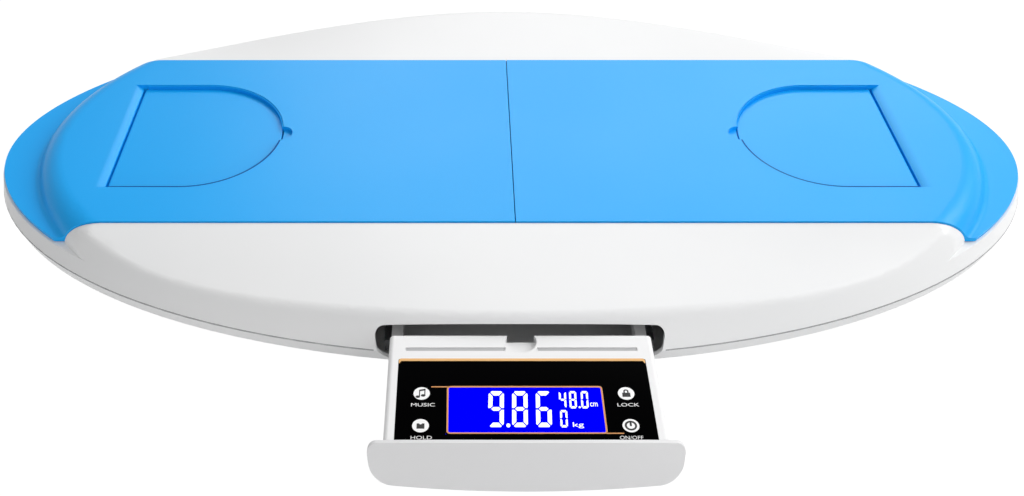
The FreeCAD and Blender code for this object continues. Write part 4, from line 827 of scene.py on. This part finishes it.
for nodeName, mark, draw in (("music_button", "note", drawNote), ("hold_button", "hold", drawHold),
                             ("lock_button", "lock", drawPadlock), ("power_button", "power", drawPower)):
    shape = bmesh.new()
    drawDisc(shape, 0, 0, keyRadius(nodeName) * mm * icons["face"], segments=icons["faceSides"])
    finishMarks(shape, mark + "Face", "keyWhite", bodyOf[nodeName], slotOf[nodeName],
                topMiddle(nodeName), icons["faceHeight"])
    shape = bmesh.new()
    draw(shape)
    finishMarks(shape, mark + "Mark", "iconBlack", bodyOf[nodeName], slotOf["tact_switches"],
                topMiddle(nodeName), icons["markHeight"])
print("stage: key marks drawn")


# blue strips of painted shade that line the gaps round the flaps, up to just under the deck: they stand in
# for the shadow in the gaps, a dark navy on the near side and a blue a little darker than the tray on the far
# side

flapShade = {"under": 0.0006, "width": 0.0009, "foot": 0.0004, "hingeKeep": 0.0035, "notchKeep": 0.0006,
           "Near": ("gapShadeNavy", 0.00356), "Far": ("gapShadeBlue", 0.0031)}


def makeFlapShade(side, row):
    # the flap's own outline, cut just under its top, drawn up and out: the near or the far half of it
    low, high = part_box(side + "_flap")
    middle = (low + high) / 2
    tip = flapTip(side)
    hingeEnd = high.x if side == "right" else low.x
    turn = 1 if row == "Far" else -1
    finish, rise = flapShade[row]

    def isLeftOut(edge):
        start, end = (vertex.co for vertex in edge.verts)
        atHinge = max(abs(start.x - hingeEnd), abs(end.x - hingeEnd)) < flapShade["hingeKeep"]
        otherHalf = ((start.y - middle.y) + (end.y - middle.y)) * turn < 0
        atNotch = ((start + end).xy / 2 - tip).length < notch["radius"] - flapShade["notchKeep"]
        return atHinge or otherHalf or atNotch

    shape = weldedCopy(side + "_flap")
    keepOutline(shape, verticesIn(cutThrough(shape, (0, 0, high.z - flapShade["under"]), (0, 0, 1))))
    bmesh.ops.delete(shape, geom=[edge for edge in shape.edges if isLeftOut(edge)], context="EDGES")
    makeStrip(shape, rise + flapShade["foot"], -flapShade["foot"], middle, -flapShade["width"])
    addPiece(shape, side + "FlapShadeStrip" + row, finish, bodyOf[side + "_tray"], slotOf[side + "_tray"])


for side in ("left", "right"):
    for row in ("Near", "Far"):
        makeFlapShade(side, row)
print("stage: flap gaps lined")


# soft grey strips of painted shade in the two grooves of the drawer's ledge, standing in for the shade that
# falls in the grooves

ledge = {"x": (8.6, 58.6), "width": 2.5, "foot": 0.0008, "sunk": 0.00035}


def makeGrooveShadeStrips():
    shape = bmesh.new()
    for turn in (-1, 1):
        near, far = sorted((ledge["x"][0] * turn, ledge["x"][1] * turn))
        drawBar(shape, near, far, -ledge["width"] / 2, ledge["width"] / 2)
    grooveY = ledgeRear - drawerCase["grooveBack"] + drawerCase["grooveShift"]
    finishMarks(shape, "grooveShadeStrips", "grooveShadeGrey", bodyOf["drawer_case"], slotOf["drawer_case"],
                (0, grooveY, caseHigh.z - ledge["foot"]), ledge["foot"] - ledge["sunk"])


makeGrooveShadeStrips()
print("stage: ledge strips laid")


# grey strip of painted shade in the parting groove of the casing, standing in for the shadow of the gap
# between the shells; left out where the drawer comes through

shadeLine = {"under": 0.00005, "height": 0.0008, "wall": 0.0012, "mouthHalf": 0.0766, "rimShare": 0.93}


def makePartingShadeLine():
    # the bottom shell's outer outline at its rim, drawn up and down over the parting line
    low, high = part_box("bottom_shell")
    middle, half = (low + high) / 2, (high - low) / 2
    shape = weldedCopy("bottom_shell")
    for x in (-shadeLine["mouthHalf"], shadeLine["mouthHalf"]):
        cutThrough(shape, (x, 0, 0), (1, 0, 0))

    def isOnRim(vertex):
        x, y = vertex.co.xy - middle.xy
        inMouth = y < 0 and abs(x) < shadeLine["mouthHalf"] - sameLevel
        return math.hypot(x / half.x, y / half.y) > shadeLine["rimShare"] and not inMouth

    cut = verticesIn(cutThrough(shape, (0, 0, high.z - shadeLine["under"]), (0, 0, 1)))
    keepOutline(shape, [vertex for vertex in cut if isOnRim(vertex)])
    makeStrip(shape, -shadeLine["height"], shadeLine["height"] / 2 + shadeLine["under"], middle, shadeLine["wall"])
    addPiece(shape, "partingShadeLine", "partingShadeGrey", bodyOf["bottom_shell"], slotOf["foot_pad_front_left"])


# the strip made here is painted shade along the parting line
makePartingShadeLine()
print("stage: parting seal made")


# screws with a cross recess, seen from below

screws = {"headRadius": 0.0029, "headHeight": 0.0016, "cells": 7, "rimShare": 0.99, "armCells": 2.5,
          "recessDepth": 0.0009, "recessTaper": 0.75, "shankRadius": 0.0015, "shankSides": 20}


def addScrew(shape, x, y, headLow, top):
    # the head's face is a grid whose rim is drawn out to a circle, with its cross pushed in
    radius, cells = screws["headRadius"], screws["cells"]
    face = bmesh.ops.create_grid(shape, x_segments=cells, y_segments=cells, size=radius)["verts"]
    for vertex in face:
        if max(abs(vertex.co.x), abs(vertex.co.y)) > radius * screws["rimShare"]:
            vertex.co = vertex.co.normalized() * radius
    step = radius * 2 / cells
    cross = []
    for cell in dict.fromkeys(cell for vertex in face for cell in vertex.link_faces):
        near, far = sorted(abs(part) for part in cell.calc_center_median().xy)
        if near < step / 2 and far < step * screws["armCells"]:
            cross.append(cell)
    rim = [edge for edge in dict.fromkeys(edge for vertex in face for edge in vertex.link_edges)
           if edge.is_boundary]
    deep = verticesIn(bmesh.ops.extrude_face_region(shape, geom=cross)["geom"])
    bmesh.ops.scale(shape, vec=(screws["recessTaper"], screws["recessTaper"], 1), verts=deep)
    bmesh.ops.translate(shape, vec=(0, 0, screws["recessDepth"]), verts=deep)
    raised = bmesh.ops.extrude_edge_only(shape, edges=rim)["geom"]
    upper = verticesIn(raised)
    bmesh.ops.translate(shape, vec=(0, 0, screws["headHeight"]), verts=upper)
    bmesh.ops.contextual_create(shape, geom=[item for item in raised if isinstance(item, bmesh.types.BMEdge)
                                             and item.is_boundary])
    bmesh.ops.translate(shape, vec=(x, y, headLow), verts=face + deep + upper)
    headTop = headLow + screws["headHeight"]
    shank = bmesh.ops.create_cone(shape, cap_ends=True, segments=screws["shankSides"], depth=top - headTop,
                                  radius1=screws["shankRadius"], radius2=screws["shankRadius"])
    bmesh.ops.translate(shape, vec=(x, y, (top + headTop) / 2), verts=shank["verts"])


def solidBoxes(nodeName):
    # the middle, foot and top of each separate solid of a node
    shape = weldedCopy(nodeName)
    boxes, seen = [], set()
    for first in shape.verts:
        if first in seen:
            continue
        seen.add(first)
        solid, front = [], [first]
        while front:
            vertex = front.pop()
            solid.append(vertex.co.copy())
            for edge in vertex.link_edges:
                other = edge.other_vert(vertex)
                if other not in seen:
                    seen.add(other)
                    front.append(other)
        xs, ys, zs = zip(*solid)
        boxes.append(((min(xs) + max(xs)) / 2, (min(ys) + max(ys)) / 2, min(zs), max(zs)))
    shape.free()
    return boxes


def makeScrews(nodeName, pieceName):
    shape = bmesh.new()
    for box in solidBoxes(nodeName):
        addScrew(shape, *box)
    bmesh.ops.recalc_face_normals(shape, faces=shape.faces)
    addPiece(shape, pieceName, nodeFinish[nodeName], bodyOf[nodeName], slotOf[nodeName], nodeName)


makeScrews("shell_screws", "shellScrews")
makeScrews("drawer_screws", "drawerScrews")
print("stage: screws made")


# rubber pads with turned rings in their soles

pads = {"rings": (0.006, 0.010, 0.014), "ringHalf": 0.0006, "ringDepth": 0.0005, "edge": 0.0006, "steps": 72}


def makePad(corner):
    nodeName = "foot_pad_" + corner
    low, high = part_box(nodeName)
    radius, height = (high.x - low.x) / 2, high.z - low.z
    profile = [(0.0, 0.0)]
    for place in pads["rings"]:
        profile += [(place - pads["ringHalf"], 0.0), (place, pads["ringDepth"]),
                    (place + pads["ringHalf"], 0.0)]
    profile += [(radius - pads["edge"], 0.0), (radius, pads["edge"]), (radius, height), (0.0, height)]
    shape = bmesh.new()
    line = [shape.verts.new((x, 0, z)) for x, z in profile]
    edges = [shape.edges.new(pair) for pair in zip(line, line[1:])]
    bmesh.ops.spin(shape, geom=line + edges, cent=(0, 0, 0), axis=(0, 0, 1), angle=math.tau,
                   steps=pads["steps"], use_merge=True)
    bmesh.ops.remove_doubles(shape, verts=shape.verts, dist=weld)
    bmesh.ops.recalc_face_normals(shape, faces=shape.faces)
    bmesh.ops.translate(shape, vec=((low.x + high.x) / 2, (low.y + high.y) / 2, low.z), verts=shape.verts)
    addPiece(shape, "footPad_" + corner, "padRubber", bodyOf[nodeName], slotOf[nodeName], nodeName)


for corner in feet:
    makePad(corner)
print("stage: foot pads turned")


# grip ribs on the battery door

doorRibs = {"count": 5, "length": 0.016, "pitch": 0.0024, "width": 0.0009, "proud": 0.0004, "fromEnd": 0.006,
            "round": 0.0002, "segments": 2}


def makeDoorRibs():
    low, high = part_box("battery_door")
    shape = bmesh.new()
    for number in range(doorRibs["count"]):
        rib = bmesh.ops.create_cube(shape, size=1.0)["verts"]
        bmesh.ops.scale(shape, vec=(doorRibs["width"], doorRibs["length"], doorRibs["proud"] * 2), verts=rib)
        bmesh.ops.translate(shape, vec=(low.x + doorRibs["fromEnd"] + number * doorRibs["pitch"],
                                        (low.y + high.y) / 2, low.z), verts=rib)
    roundOff(shape, list(shape.edges), doorRibs["round"], doorRibs["segments"])
    addPiece(shape, "doorRibs", nodeFinish["battery_door"], bodyOf["battery_door"], slotOf["battery_door"])


makeDoorRibs()
print("stage: battery door ribs made")


bpy.context.view_layer.update()
